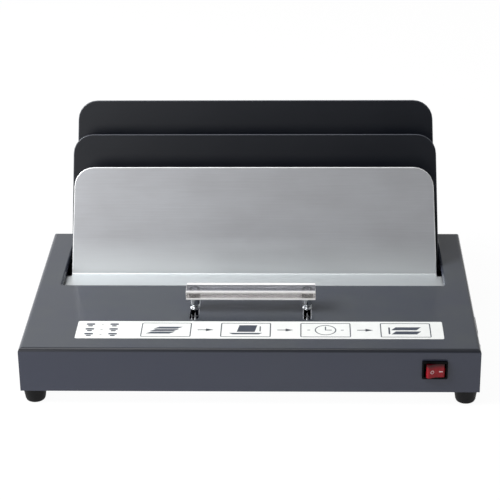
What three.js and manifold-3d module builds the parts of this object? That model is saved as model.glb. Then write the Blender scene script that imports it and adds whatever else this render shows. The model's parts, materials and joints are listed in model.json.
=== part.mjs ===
// A desktop thermal binding machine: a folded steel housing on four feet, a heating plate under an
// opening in its top, a sliding clamp plate in front of the spines, a fixed back plate behind them and
// a rear plate that closes the cooling pocket. Millimetres, +Z up, +Y towards the back.
// While the pieces are made, y = 0 is the housing's front face and z = 0 is its top face.

import * as THREE from 'three';
import { mergeVertices } from 'three/addons/utils/BufferGeometryUtils.js';
import Module from 'manifold-3d';

const wasm = await Module();
wasm.setup();

// How finely round forms are cut
const roundSteps = 24;
const fineSteps = 12;
const bendSteps = 4;
const cornerSteps = 6;
const slotSteps = 4;
const nutSides = 6;

// Clearances shared by the whole machine
const seatGap = 0.3;
const runGap = 0.3;
const overrun = 5;
const weld = 0.0001;

// Housing: the folded cover and the pan that closes it from below
const housingWidth = 380;
const housingDepth = 235;
const housingHeight = 39.4;
const sheet = 1.2;
const housingBend = 2.3;
const hemDrop = 4;
const openingSideMargin = 21.8;
const openingWidth = housingWidth - 2 * openingSideMargin;
const openingLead = 34.7;
const openingCorner = 1.2;
const rimRadius = 2.2;
const openingRearClearance = 1.6;
const panLip = 8;
const ventPitch = 8;
const ventWidth = 3;
const ventLength = 16;
const ventCount = 10;
const ventEdge = 60;
const ventDrop = 20;
const panVentPitch = 24;
const panVentLength = 14;
const panVentCount = 9;

// Feet and the screws that hold them
const footHeight = 13;
const footTopRadius = 10.1;
const footBottomRadius = 8.4;
const footRim = 2.2;
const footInsetX = 10.6;
const footInsetY = 11;
const footRecessRadius = 4.3;
const footRecessDepth = 5.5;
const footScrewRadius = 2;
const footScrewHeadRadius = 3.9;
const footScrewHeadHeight = 2.6;
const footNutAcross = 7;
const footNutHeight = 3.2;

// Shape of a pan-head screw and of a foot's lower edge, as shares of their own sizes
const screwPointShare = 0.7;
const screwChamferShare = 0.3;
const screwWallShare = 0.55;
const screwCrownShare = 0.72;
const screwRecessShare = 0.4;
const footRimShare = 0.3;

// Plates that stand in the opening
const lean = THREE.MathUtils.degToRad(14);
const plateThickness = 1.5;
const plateBend = 1.5;
const plateCorner = 18;

// How far back each plate's front face crosses the housing's top, from the rear wall forwards
const rearInset = 17;
const coolingPitch = 28;
const bindingPitch = 33.3;
const rearFaceY = housingDepth - rearInset;
const middleFaceY = rearFaceY - coolingPitch;
const clampFaceY = middleFaceY - bindingPitch;

const clampFlangeDrop = 6;
const clampLeaf = 97.5;
const clampSideGap = 4;
const clampHalfWidth = openingWidth / 2 - clampSideGap;
const clampTaper = THREE.MathUtils.degToRad(2.8);
const clampFlangeLength = 95;
const clampFlangeLap = 6;
const clampFlangeHalf = openingWidth / 2 + clampFlangeLap;
const clampEarSetback = 4.5;

const fixedTaper = THREE.MathUtils.degToRad(2.1);
const fixedFlangeDrop = 16.2;
const middleRise = 108.6;
const middleSideGap = 0.5;
const middleHalfWidth = openingWidth / 2 - middleSideGap;
const middleFlangeLength = 22;
const rearRise = 130;
const rearSideGap = 1.4;
const rearHalfWidth = openingWidth / 2 - rearSideGap;
const rearFlangeLength = 15;

// Clamp carriage: handle, posts, slide blocks and the rods that they run on
const travelForward = 16;
const travelBack = 28;
const handleSetback = 82;
const handleY = clampFaceY - handleSetback;
const handleSpacing = 96;
const handleLength = 110;
const handleDepth = 18;
const handleHeight = 8.3;
const handleEdge = 0.8;
const handleLift = 12.2;
const postCollarRadius = 4.2;
const postCollarHeight = 1.1;
const postWaistRadius = 2.6;
const postWaistStart = 2.4;
const postWaistEnd = 3.5;
const postHeadRadius = 4;
const postHeadStart = 5;
const postShoulderRadius = 3;
const postThreadRadius = 2.5;
const postThreadLength = 7;
const postStudRadius = 2;
const postStudLength = 4;
const slotClearance = 0.8;
const slotEndGap = 2.2;
const nutAcross = 8;
const nutHeight = 4;

const rodRadius = 4;
const rodInset = 80;
const rodSpacing = housingWidth - 2 * rodInset;
const rodOverhang = 4;
const blockWidth = 22;
const blockLength = 22;
const blockHeight = 14;
const blockSetback = 68.7;
const blockY = clampFaceY - blockSetback;
const blockScrewRadius = 2;
const blockScrewLength = 5;
const blockScrewHeadRadius = 3.6;
const blockScrewHeadHeight = 2.2;
const bracketSheet = 1.5;
const bracketBend = 1.5;
const bracketFoot = 14;
const bracketMargin = 16;
const bracketHeadroom = 1.5;
const bracketRunout = 6;
const bracketWindowHeight = 12;

// Heating plate and what lies under it
const heaterGap = 1.5;
const heaterThickness = 4;
const heaterSideGap = 6;
const heaterHalfWidth = openingWidth / 2 - heaterSideGap;
const heaterFrontLap = 15.2;
const heaterRearGap = 0.8;
const matThickness = 1.5;
const thermostatBay = 32;
const matHalfWidth = heaterHalfWidth - thermostatBay;
const boardThickness = 6;
const traySheet = 1.2;
const trayBend = 0.6;
const trayFlange = 4.5;
const standoffRadius = 4;
const standoffInset = 22;
const thermostatRadius = 8;
const thermostatHeight = 5.5;
const thermostatCapRadius = 6.2;
const thermostatCapHeight = 1.2;
const thermostatTabWidth = 6.3;
const thermostatTabThickness = 0.8;
const thermostatTabLength = 5.5;

// Bracket that carries the two fixed plates, and its rivets
const carrierSheet = 1.5;
const carrierBend = 1.5;
const carrierFoot = 7;
const carrierSideGap = 8;
const carrierHalfWidth = openingWidth / 2 - carrierSideGap;
const carrierFrontGap = 1.5;
const carrierRearGap = 3;
const rivetInset = 35;
const rivetShankRadius = 1.6;
const rivetHeadRadius = 3.2;
const rivetHeadHeight = 1.2;
const rivetTailRadius = 2.5;
const rivetTailHeight = 1.4;
const rivetCrownShare = 0.8;
const rivetWallShare = 0.7;

// Power switch in the front wall
const switchInset = 37.6;
const switchX = housingWidth / 2 - switchInset;
const switchDrop = 18;
const bezelWidth = 21;
const bezelHeight = 16;
const bezelThickness = 2;
const bezelRound = 1;
const bodyWidth = 19;
const bodyHeight = 14.4;
const bodyDepth = 13;
const rockerHalf = 7.9;
const rockerHeight = 12;
const rockerShoulder = 2.4;
const rockerThrow = THREE.MathUtils.degToRad(11);
const rockerPivotDepth = 4.2;
const rockerValley = 4.6;
const rockerHeel = 2.6;
const rockerHeelHalf = 3.2;
const rockerClearance = 0.45;
const trunnionRadius = 1;
const trunnionLength = 0.7;
const bladeWidth = 4.8;
const bladeThickness = 0.8;
const bladeLength = 7.5;
const bladeSpacing = 6;

// Power inlet in the right-hand wall
const inletY = 72;
const inletDrop = 24.5;
const inletFlangeLength = 50;
const inletFlangeHeight = 22.5;
const inletFlangeThickness = 2.2;
const inletScrewSpacing = 40;
const inletEar = 5.5;
const inletBodyLength = 27.6;
const inletBodyHeight = 19.6;
const inletBodyDepth = 17;
const inletBevel = 4.6;
const inletWall = 1.8;
const inletCavityDepth = 15;
const inletPinWidth = 4;
const inletPinThickness = 2;
const inletPinLength = 12;
const inletPinSpacing = 14;
const inletPinRise = 2;
const inletTabLength = 8;
const inletTabWidth = 4.8;
const inletTabThickness = 0.8;
const inletScrewRadius = 1.5;
const inletScrewHeadRadius = 2.8;
const inletScrewHeadHeight = 1.7;

// Screws that join the cover to the pan's lips
const coverScrewInset = 24;
const coverScrewRise = 4.4;
const coverScrewRadius = 1.6;
const coverScrewHeadRadius = 3;
const coverScrewHeadHeight = 1.8;
const coverScrewLength = 7;

// Terminal block
const terminalInset = 48;
const terminalX = housingWidth / 2 - terminalInset;
const terminalY = 45;
const terminalWays = 3;
const terminalPitch = 9;
const terminalDepth = 20;
const terminalHeight = 13;
const terminalStep = 4;
const terminalWellRadius = 2.2;
const terminalWellDepth = 6;
const terminalWellShare = 0.375;

const xAxis = new THREE.Vector3(1, 0, 0);
const yAxis = new THREE.Vector3(0, 1, 0);
const zAxis = new THREE.Vector3(0, 0, 1);

// Solids in and out of the cutter

function toSolid(geometry) {
  const bare = geometry.clone();
  bare.deleteAttribute('normal');
  bare.deleteAttribute('uv');
  const welded = mergeVertices(bare, weld);
  const corners = welded.index.array;
  const kept = [];
  for (let i = 0; i < corners.length; i += 3) {
    const [a, b, c] = corners.slice(i, i + 3);
    if (a !== b && b !== c && c !== a) kept.push(a, b, c);
  }
  const vertProperties = new Float32Array(welded.attributes.position.array);
  const triVerts = new Uint32Array(kept);
  return new wasm.Manifold(new wasm.Mesh({ numProp: 3, vertProperties, triVerts }));
}

function fromSolid(solid) {
  const mesh = solid.getMesh();
  const geometry = new THREE.BufferGeometry();
  geometry.setAttribute('position', new THREE.BufferAttribute(new Float32Array(mesh.vertProperties), 3));
  geometry.setIndex(new THREE.BufferAttribute(new Uint32Array(mesh.triVerts), 1));
  return geometry;
}

function join(first, ...others) {
  return fromSolid(others.reduce((sum, next) => sum.add(toSolid(next)), toSolid(first)));
}

function cut(first, ...others) {
  return fromSolid(others.reduce((rest, next) => rest.subtract(toSolid(next)), toSolid(first)));
}

function common(first, ...others) {
  return fromSolid(others.reduce((both, next) => both.intersect(toSolid(next)), toSolid(first)));
}

// Outlines

// A closed outline from corners written [x, y] or [x, y, radius].
function outline(corners, steps = cornerSteps) {
  const points = [];
  corners.forEach(([x, y, radius = 0], index) => {
    const corner = new THREE.Vector2(x, y);
    if (radius === 0) {
      points.push(corner);
      return;
    }
    const before = new THREE.Vector2(...corners.at(index - 1).slice(0, 2));
    const after = new THREE.Vector2(...corners[(index + 1) % corners.length].slice(0, 2));
    const toBefore = before.sub(corner).normalize();
    const toAfter = after.sub(corner).normalize();
    const half = Math.acos(toBefore.dot(toAfter)) / 2;
    const middle = toBefore.clone().add(toAfter).normalize();
    const centre = corner.clone().addScaledVector(middle, radius / Math.sin(half));
    const start = corner.clone().addScaledVector(toBefore, radius / Math.tan(half)).sub(centre);
    const end = corner.clone().addScaledVector(toAfter, radius / Math.tan(half)).sub(centre);
    const sweep = Math.atan2(start.cross(end), start.dot(end));
    for (let step = 0; step <= steps; step += 1) {
      const spoke = start.clone().rotateAround(new THREE.Vector2(), (sweep * step) / steps);
      points.push(centre.clone().add(spoke));
    }
  });
  return new THREE.Shape(points);
}

function rectangle(width, height, radius = 0, steps = cornerSteps) {
  const x = width / 2;
  const y = height / 2;
  return outline([[-x, -y, radius], [x, -y, radius], [x, y, radius], [-x, y, radius]], steps);
}

// A rectangle whose top side lies on y = 0 and whose two top corners are rounded.
function roundedTop(width, height, radius) {
  const x = width / 2;
  return outline([[-x, -height], [x, -height], [x, 0, radius], [-x, 0, radius]], bendSteps);
}

function leftOf(direction) {
  return new THREE.Vector2(-direction.y, direction.x);
}

// The cross-section of a bent sheet: an even band along a path whose corners are rounded.
function bandShape(path, thickness, bend) {
  const half = thickness / 2;
  const centreRadius = bend + half;
  const near = [];
  const far = [];
  const mark = (point, normal) => {
    near.push(point.clone().addScaledVector(normal, half));
    far.push(point.clone().addScaledVector(normal, -half));
  };
  path.forEach((corner, index) => {
    const before = path[index - 1];
    const after = path[index + 1];
    const arriving = before ? corner.clone().sub(before).normalize() : null;
    const leaving = after ? after.clone().sub(corner).normalize() : null;
    if (!arriving || !leaving) {
      mark(corner, leftOf(arriving ?? leaving));
      return;
    }
    const turn = Math.atan2(arriving.cross(leaving), arriving.dot(leaving));
    const side = Math.sign(turn);
    const reach = centreRadius * Math.tan(Math.abs(turn) / 2);
    const start = corner.clone().addScaledVector(arriving, -reach);
    const centre = start.addScaledVector(leftOf(arriving), side * centreRadius);
    for (let step = 0; step <= bendSteps; step += 1) {
      const normal = leftOf(arriving).rotateAround(new THREE.Vector2(), (turn * step) / bendSteps);
      mark(centre.clone().addScaledVector(normal, -side * centreRadius), normal);
    }
  });
  return new THREE.Shape([...near, ...far.reverse()]);
}

function bentPath(...points) {
  return points.map(([y, z]) => new THREE.Vector2(y, z));
}

// Forms

function extrude(shape, length) {
  return new THREE.ExtrudeGeometry(shape, { depth: length, bevelEnabled: false });
}

// The outline is drawn in y and z, and the prism is centred on x = 0.
function prismX(shape, length) {
  const turn = new THREE.Matrix4().makeBasis(yAxis, zAxis, xAxis);
  return extrude(shape, length).applyMatrix4(turn).translate(-length / 2, 0, 0);
}

// The outline is drawn in x and z, and the prism is centred on y = 0.
function prismY(shape, length) {
  const turn = new THREE.Matrix4().makeBasis(xAxis, zAxis, yAxis.clone().negate());
  return extrude(shape, length).applyMatrix4(turn).translate(0, length / 2, 0);
}

// The outline is drawn in x and y, and the prism rises from z = 0.
function prismZ(shape, length) {
  return extrude(shape, length);
}

function cylinder(radius, length, steps = roundSteps) {
  return new THREE.CylinderGeometry(radius, radius, length, steps).rotateX(Math.PI / 2);
}

// A turned piece from [radius, z] points, written upwards along its outside.
function turned(profile, steps = roundSteps) {
  const points = profile.map(([radius, z]) => new THREE.Vector2(radius, z));
  return new THREE.LatheGeometry(points, steps).rotateX(Math.PI / 2);
}

// A nut with its lower face on z = 0.
function hexNut(across, height, bore) {
  const corner = across / 2 / Math.cos(Math.PI / nutSides);
  const blank = cylinder(corner, height, nutSides);
  return cut(blank, cylinder(bore, height + overrun, fineSteps)).translate(0, 0, height / 2);
}

// A pan-head screw pointing down, its head resting on z = 0, with a cross recess left as a dimple.
function panScrew(radius, length, headRadius, headHeight) {
  return turned([
    [0, -length],
    [radius * screwPointShare, -length],
    [radius, radius * screwChamferShare - length],
    [radius, 0],
    [headRadius, 0],
    [headRadius, headHeight * screwWallShare],
    [headRadius * screwCrownShare, headHeight],
    [headRadius * screwRecessShare, headHeight],
    [0, headHeight * screwRecessShare],
  ], fineSteps);
}

// An open box folded from sheet: top face on z = 0, four walls hanging down from it.
function foldedBox(width, depth, height, thickness, bend) {
  const outerRadius = bend + thickness;
  const outer = common(
    prismX(roundedTop(depth, height, outerRadius), width + 2 * overrun),
    prismY(roundedTop(width, height, outerRadius), depth + 2 * overrun),
  );
  const innerWidth = width - 2 * thickness;
  const innerDepth = depth - 2 * thickness;
  const innerHeight = height + overrun;
  const inner = common(
    prismX(roundedTop(innerDepth, innerHeight, bend), width),
    prismY(roundedTop(innerWidth, innerHeight, bend), depth),
  ).translate(0, 0, -thickness);
  return cut(outer, inner);
}

// A leaning leaf with a level flange, bent from one sheet and trimmed to a blank's outline. The origin
// is where the leaf's and the flange's middle planes meet; corners are [x, distance up the leaf].
function bentPlate({ leaf, flange, side, width, corners }) {
  const path = bentPath(
    [side * flange, 0],
    [0, 0],
    [(leaf + overrun) * Math.sin(lean), (leaf + overrun) * Math.cos(lean)],
  );
  const band = prismX(bandShape(path, plateThickness, plateBend), width + 2 * overrun);
  const blank = prismY(outline(corners), 2 * (leaf + flange)).rotateX(-lean);
  return common(band, blank);
}

// A closed solid that passes through outlines at rising heights, each level written [outline, z].
function loft(levels) {
  const rings = levels.map(([shape, z]) => shape.getPoints().map((point) => [point.x, point.y, z]));
  const count = rings[0].length;
  const faces = [];
  for (let level = 0; level < rings.length - 1; level += 1) {
    for (let i = 0; i < count; i += 1) {
      const low = level * count + i;
      const next = level * count + ((i + 1) % count);
      faces.push(low, next, next + count, low, next + count, low + count);
    }
  }
  const top = (rings.length - 1) * count;
  THREE.ShapeUtils.triangulateShape(levels[0][0].getPoints(), []).forEach(([a, b, c]) => {
    faces.push(c, b, a, top + a, top + b, top + c);
  });
  const geometry = new THREE.BufferGeometry();
  geometry.setAttribute('position', new THREE.Float32BufferAttribute(rings.flat(2), 3));
  geometry.setIndex(faces);
  return geometry;
}

const machine = new THREE.Group();

function addPiece(name, geometry, colour, roughness, metalness, position = [0, 0, 0], holder = machine) {
  const material = new THREE.MeshStandardMaterial({ color: colour, roughness, metalness });
  const mesh = new THREE.Mesh(fromSolid(toSolid(geometry)), material);
  mesh.name = name;
  mesh.position.set(...position);
  holder.add(mesh);
  return mesh;
}

// Shared places, all worked out from the sizes above

const tanLean = Math.tan(lean);
const cosLean = Math.cos(lean);
const sinLean = Math.sin(lean);
const halfPlate = plateThickness / 2;
const panFloor = -housingHeight + sheet;
const openingFront = clampFaceY - openingLead;
const openingRear = rearFaceY + plateThickness / cosLean + openingRearClearance;
const openingDepth = openingRear - openingFront;
const openingY = (openingFront + openingRear) / 2;
const slotFront = handleY - travelForward - postShoulderRadius - slotEndGap;
const slotRear = handleY + travelBack + postShoulderRadius + slotEndGap;
const slotWidth = 2 * (postShoulderRadius + slotClearance);
const clampFlangeTop = -clampFlangeDrop;
const clampFlangeUnder = clampFlangeTop - plateThickness;
const sides = [['left', -1], ['right', 1]];

// Housing cover: folded sheet, two handle slots, the wall cut-outs, and an opening with a turned-down rim

const rectangleAt = (shape, length, x, y, z) => prismZ(shape, length).translate(x, y, z);

const switchCutout = prismY(rectangle(bodyWidth + 2 * runGap, bodyHeight + 2 * runGap), 2 * overrun)
  .translate(switchX, 0, -switchDrop);
const inletCutout = prismX(rectangle(inletBodyLength + 2 * runGap, inletBodyHeight + 2 * runGap), 2 * overrun)
  .translate(housingWidth / 2, inletY, -inletDrop);
const inletScrewYs = [inletY - inletScrewSpacing / 2, inletY + inletScrewSpacing / 2];
const inletScrewHoles = inletScrewYs.map((y) => cylinder(inletScrewRadius + runGap, 2 * overrun, fineSteps)
  .rotateY(Math.PI / 2)
  .translate(housingWidth / 2, y, -inletDrop));

const coverScrewYs = [['front', coverScrewInset], ['rear', housingDepth - coverScrewInset]];
const coverScrewZ = -housingHeight + coverScrewRise;
const coverScrewHoles = coverScrewYs.map(([, y]) => cylinder(
  coverScrewRadius + runGap,
  housingWidth + 2 * overrun,
  fineSteps,
).rotateY(Math.PI / 2).translate(0, y, coverScrewZ));

const handleSlot = rectangle(slotWidth, slotRear - slotFront, slotWidth / 2, slotSteps);
const handleSlots = sides.map(([, side]) => rectangleAt(
  handleSlot,
  2 * overrun,
  (side * handleSpacing) / 2,
  (slotFront + slotRear) / 2,
  -overrun,
));

const ventShape = rectangle(ventWidth, ventLength, ventWidth / 2, slotSteps / 2);
const rearVents = [];
for (let i = 0; i < ventCount; i += 1) {
  const x = -housingWidth / 2 + ventEdge + i * ventPitch;
  rearVents.push(prismY(ventShape, 2 * overrun).translate(x, housingDepth, -ventDrop));
  rearVents.push(prismY(ventShape, 2 * overrun).translate(-x, housingDepth, -ventDrop));
}

const collarShape = rectangle(openingWidth + 2 * sheet, openingDepth + 2 * sheet, openingCorner + sheet);
const openingAt = (spread) => rectangle(
  openingWidth + 2 * spread,
  openingDepth + 2 * spread,
  openingCorner + spread,
);
const rimLevels = [[openingAt(0), -overrun]];
for (let step = 0; step <= bendSteps; step += 1) {
  const turn = (step * Math.PI) / 2 / bendSteps;
  const spread = rimRadius * (1 - Math.cos(turn));
  rimLevels.push([openingAt(spread), rimRadius * (Math.sin(turn) - 1)]);
}
rimLevels.push([openingAt(rimRadius), overrun]);
const coverShell = foldedBox(housingWidth, housingDepth, housingHeight, sheet, housingBend)
  .translate(0, housingDepth / 2, 0);
const collar = rectangleAt(collarShape, hemDrop - sheet / 2, 0, openingY, -hemDrop);
const hemmedCover = cut(
  join(coverShell, collar),
  loft(rimLevels).translate(0, openingY, 0),
  ...handleSlots,
  switchCutout,
  inletCutout,
  ...inletScrewHoles,
  ...coverScrewHoles,
  ...rearVents,
);
addPiece('housing_cover', hemmedCover, '#4b4e56', 0.45, 0.1);

// Base pan: a shallow tray inside the cover's walls, with vents under the heater

const panWidth = housingWidth - 2 * (sheet + seatGap);
const panDepth = housingDepth - 2 * (sheet + seatGap);
const heaterFront = clampFaceY - heaterFrontLap;
const panVentShape = rectangle(ventWidth, panVentLength, ventWidth / 2, slotSteps / 2);
const panVents = [];
for (let i = 0; i < panVentCount; i += 1) {
  const x = (i - (panVentCount - 1) / 2) * panVentPitch;
  panVents.push(rectangleAt(panVentShape, 2 * overrun, x, heaterFront + panVentLength, -housingHeight - overrun));
}
const footPlaces = [];
sides.forEach(([sideName, side]) => {
  const x = side * (housingWidth / 2 - footInsetX);
  footPlaces.push([`front_${sideName}`, x, footInsetY]);
  footPlaces.push([`rear_${sideName}`, x, housingDepth - footInsetY]);
});
const footScrewHoles = footPlaces.map(([, x, y]) => cylinder(footScrewRadius + runGap, 2 * overrun, fineSteps)
  .translate(x, y, -housingHeight));
const panShell = foldedBox(panWidth, panDepth, panLip, sheet, housingBend)
  .rotateX(Math.PI)
  .translate(0, housingDepth / 2, -housingHeight);
const panCuts = [...panVents, ...footScrewHoles, ...coverScrewHoles, inletCutout];
addPiece('base_pan', cut(panShell, ...panCuts), '#9a9d9f', 0.5, 0.7);

// Feet: tapered rubber bumpers with a screw recess from below

const footProfile = [
  [footRecessRadius, 0],
  [footBottomRadius - footRim, 0],
  [footBottomRadius - footRim * footRimShare, footRim * footRimShare],
  [footBottomRadius, footRim],
  [footTopRadius, footHeight],
  [footScrewRadius + runGap, footHeight],
  [footScrewRadius + runGap, footRecessDepth],
  [footRecessRadius, footRecessDepth],
  [footRecessRadius, 0],
];
const footScrewLength = footHeight - footRecessDepth + sheet + footNutHeight + footScrewRadius;
footPlaces.forEach(([place, x, y]) => {
  const floor = -housingHeight - footHeight;
  addPiece(`foot_${place}`, turned(footProfile), '#17181a', 0.85, 0, [x, y, floor - seatGap]);
  const screw = panScrew(footScrewRadius, footScrewLength, footScrewHeadRadius, footScrewHeadHeight)
    .rotateX(Math.PI);
  addPiece(`foot_screw_${place}`, screw, '#b9bcc0', 0.3, 1, [x, y, floor + footRecessDepth - 2 * seatGap]);
  const nut = hexNut(footNutAcross, footNutHeight, footScrewRadius + runGap);
  addPiece(`foot_nut_${place}`, nut, '#b9bcc0', 0.3, 1, [x, y, panFloor + seatGap]);
});

// Screws through the cover's walls into the pan's lips

sides.forEach(([sideName, side]) => {
  coverScrewYs.forEach(([placeName, y]) => {
    const screw = panScrew(coverScrewRadius, coverScrewLength, coverScrewHeadRadius, coverScrewHeadHeight)
      .rotateY((side * Math.PI) / 2);
    const x = side * (housingWidth / 2 + seatGap);
    addPiece(`cover_screw_${placeName}_${sideName}`, screw, '#2a2b2e', 0.4, 0.8, [x, y, coverScrewZ]);
  });
});

// Clamp plate: a tapered aluminium leaf on a wide flange that runs forward under the cover

const carriage = new THREE.Group();
machine.add(carriage);

const clampBendY = clampFaceY + halfPlate / cosLean - halfPlate * tanLean;
const clampTopHalf = clampHalfWidth - clampLeaf * Math.tan(clampTaper);
const clampBottom = -clampFlangeLength * sinLean - overrun;
const clampEar = -clampEarSetback * sinLean;
const clampBlank = bentPlate({
  leaf: clampLeaf,
  flange: clampFlangeLength,
  side: -1,
  width: 2 * clampFlangeHalf,
  corners: [
    [-clampFlangeHalf, clampBottom], [clampFlangeHalf, clampBottom], [clampFlangeHalf, clampEar],
    [clampHalfWidth, clampEar], [clampTopHalf, clampLeaf, plateCorner],
    [-clampTopHalf, clampLeaf, plateCorner], [-clampHalfWidth, clampEar], [-clampFlangeHalf, clampEar],
  ],
});
const postHoles = sides.map(([, side]) => cylinder(postThreadRadius + runGap, 2 * overrun, fineSteps)
  .translate((side * handleSpacing) / 2, handleY - clampBendY, 0));
const blockScrewHoles = sides.map(([, side]) => cylinder(blockScrewRadius + runGap, 2 * overrun, fineSteps)
  .translate((side * rodSpacing) / 2, blockY - clampBendY, 0));
const clampPlace = [0, clampBendY, clampFlangeTop - halfPlate];
addPiece(
  'clamp_plate',
  cut(clampBlank, ...postHoles, ...blockScrewHoles),
  '#b4b8ba',
  0.42,
  0.9,
  clampPlace,
  carriage,
);

// Handle: a clear bar on two turned posts that pass through the slots to the flange

const handleSection = outline([
  [-handleDepth / 2, 0, handleEdge], [handleDepth / 2, 0, handleEdge],
  [handleDepth / 2, handleHeight, handleEdge], [-handleDepth / 2, handleHeight, handleEdge],
], slotSteps / 2);
const studHoles = sides.map(([, side]) => cylinder(postStudRadius + runGap, 2 * (postStudLength + runGap), fineSteps)
  .translate((side * handleSpacing) / 2, 0, 0));
addPiece(
  'handle_bar',
  cut(prismX(handleSection, handleLength), ...studHoles),
  '#dfe3e6',
  0.08,
  0,
  [0, handleY, handleLift],
  carriage,
);

const postTop = handleLift - seatGap;
const postShoulder = clampFlangeTop + seatGap;
const postProfile = [
  [0, postShoulder - postThreadLength],
  [postThreadRadius, postShoulder - postThreadLength],
  [postThreadRadius, postShoulder],
  [postShoulderRadius, postShoulder],
  [postShoulderRadius, seatGap],
  [postCollarRadius, seatGap],
  [postCollarRadius, seatGap + postCollarHeight],
  [postWaistRadius, postWaistStart],
  [postWaistRadius, postWaistEnd],
  [postHeadRadius, postHeadStart],
  [postHeadRadius, postTop],
  [postStudRadius, postTop],
  [postStudRadius, postTop + postStudLength],
  [0, postTop + postStudLength],
];
sides.forEach(([sideName, side]) => {
  const x = (side * handleSpacing) / 2;
  addPiece(`handle_post_${sideName}`, turned(postProfile), '#d5d8db', 0.12, 1, [x, handleY, 0], carriage);
  const nut = hexNut(nutAcross, nutHeight, postThreadRadius + runGap);
  const nutPlace = [x, handleY, clampFlangeUnder - seatGap - nutHeight];
  addPiece(`handle_nut_${sideName}`, nut, '#b9bcc0', 0.3, 1, nutPlace, carriage);
});

// Slide blocks: plastic bearings screwed under the flange, each on its guide rod

const blockTop = clampFlangeUnder - seatGap;
const rodZ = blockTop - blockHeight / 2;
const blockHoleLength = blockScrewLength + runGap;
const blockBody = cut(
  prismY(rectangle(blockWidth, blockHeight, blockScrewRadius), blockLength),
  cylinder(rodRadius + runGap, blockLength + 2 * overrun).rotateX(Math.PI / 2),
  cylinder(blockScrewRadius + runGap, 2 * blockHoleLength, fineSteps).translate(0, 0, blockHeight / 2),
);
const blockScrewShank = plateThickness + 2 * seatGap + blockHeight / 2 - rodRadius - 2 * runGap;
sides.forEach(([sideName, side]) => {
  const x = (side * rodSpacing) / 2;
  addPiece(`slide_block_${sideName}`, blockBody, '#e4e2da', 0.6, 0, [x, blockY, rodZ], carriage);
  const screw = panScrew(blockScrewRadius, blockScrewShank, blockScrewHeadRadius, blockScrewHeadHeight);
  addPiece(`block_screw_${sideName}`, screw, '#b9bcc0', 0.3, 1, [x, blockY, clampFlangeTop + seatGap], carriage);
});

// Guide rods and the two folded brackets that hold them off the pan

const carriageFront = Math.min(blockY - blockLength / 2, handleY - nutAcross / Math.sqrt(3));
const frontBracketY = carriageFront - travelForward - bracketRunout;
const rearBracketY = blockY + blockLength / 2 + travelBack + bracketRunout;
const rodFront = frontBracketY - bracketSheet - rodOverhang;
const rodRear = rearBracketY + bracketSheet + rodOverhang;
const bracketTop = clampFlangeUnder - bracketHeadroom;
const bracketHeight = bracketTop - panFloor;
const bracketHalf = rodSpacing / 2 + bracketMargin;
const windowWidth = rodSpacing - 2 * bracketMargin;

sides.forEach(([sideName, side]) => {
  const rod = cylinder(rodRadius, rodRear - rodFront).rotateX(Math.PI / 2);
  const rodPlace = [(side * rodSpacing) / 2, (rodFront + rodRear) / 2, rodZ];
  addPiece(`guide_rod_${sideName}`, rod, '#c4c7ca', 0.2, 1, rodPlace);
});

// The upright stands on y = 0 to bracketSheet, and its foot points forward. The front one is turned round.
const bracketCentre = bracketSheet / 2;
const bracketSection = bandShape(bentPath(
  [-bracketFoot, seatGap + bracketCentre],
  [bracketCentre, seatGap + bracketCentre],
  [bracketCentre, bracketHeight],
), bracketSheet, bracketBend);
const rodHoles = sides.map(([, side]) => cylinder(rodRadius + runGap, 2 * overrun)
  .rotateX(Math.PI / 2)
  .translate((side * rodSpacing) / 2, 0, rodZ - panFloor));
const bracketWindow = prismY(rectangle(windowWidth, bracketWindowHeight, bracketBend), 2 * overrun)
  .translate(0, 0, bracketHeight / 2);
const guideBracket = cut(prismX(bracketSection, 2 * bracketHalf), ...rodHoles, bracketWindow);
const turnedBracket = guideBracket.clone().rotateZ(Math.PI);
addPiece('guide_bracket_front', turnedBracket, '#9a9d9f', 0.5, 0.7, [0, frontBracketY, panFloor]);
addPiece('guide_bracket_rear', guideBracket, '#9a9d9f', 0.5, 0.7, [0, rearBracketY, panFloor]);

// Fixed plates: black sheet-steel leaves that stand on the carrier bracket

const fixedFlangeZ = -fixedFlangeDrop - halfPlate;

function addFixedPlate(name, faceY, rise, halfWidth, flange) {
  const leaf = rise + (fixedFlangeDrop + halfPlate) / cosLean;
  const topHalf = halfWidth - rise * Math.tan(fixedTaper);
  const footHalf = topHalf + leaf * Math.tan(fixedTaper);
  const bendY = faceY + halfPlate / cosLean + fixedFlangeZ * tanLean;
  const bottom = -overrun;
  const lowHalf = topHalf + (leaf - bottom) * Math.tan(fixedTaper);
  const blank = bentPlate({
    leaf,
    flange,
    side: 1,
    width: 2 * lowHalf,
    corners: [
      [-lowHalf, bottom], [lowHalf, bottom], [topHalf, leaf, plateCorner], [-topHalf, leaf, plateCorner],
    ],
  });
  const rivetX = footHalf - rivetInset;
  const rivetY = flange / 2;
  const rivetHoles = sides.map(([, side]) => cylinder(rivetShankRadius + runGap, 2 * overrun, fineSteps)
    .translate(side * rivetX, rivetY, 0));
  addPiece(name, cut(blank, ...rivetHoles), '#1d2024', 0.5, 0.1, [0, bendY, fixedFlangeZ]);
  return { rivetX, rivetY: bendY + rivetY, bendY };
}

const middle = addFixedPlate('middle_plate', middleFaceY, middleRise, middleHalfWidth, middleFlangeLength);
const rear = addFixedPlate('rear_plate', rearFaceY, rearRise, rearHalfWidth, rearFlangeLength);

// Carrier bracket: a folded channel on the pan under both flanges, riveted to them

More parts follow.
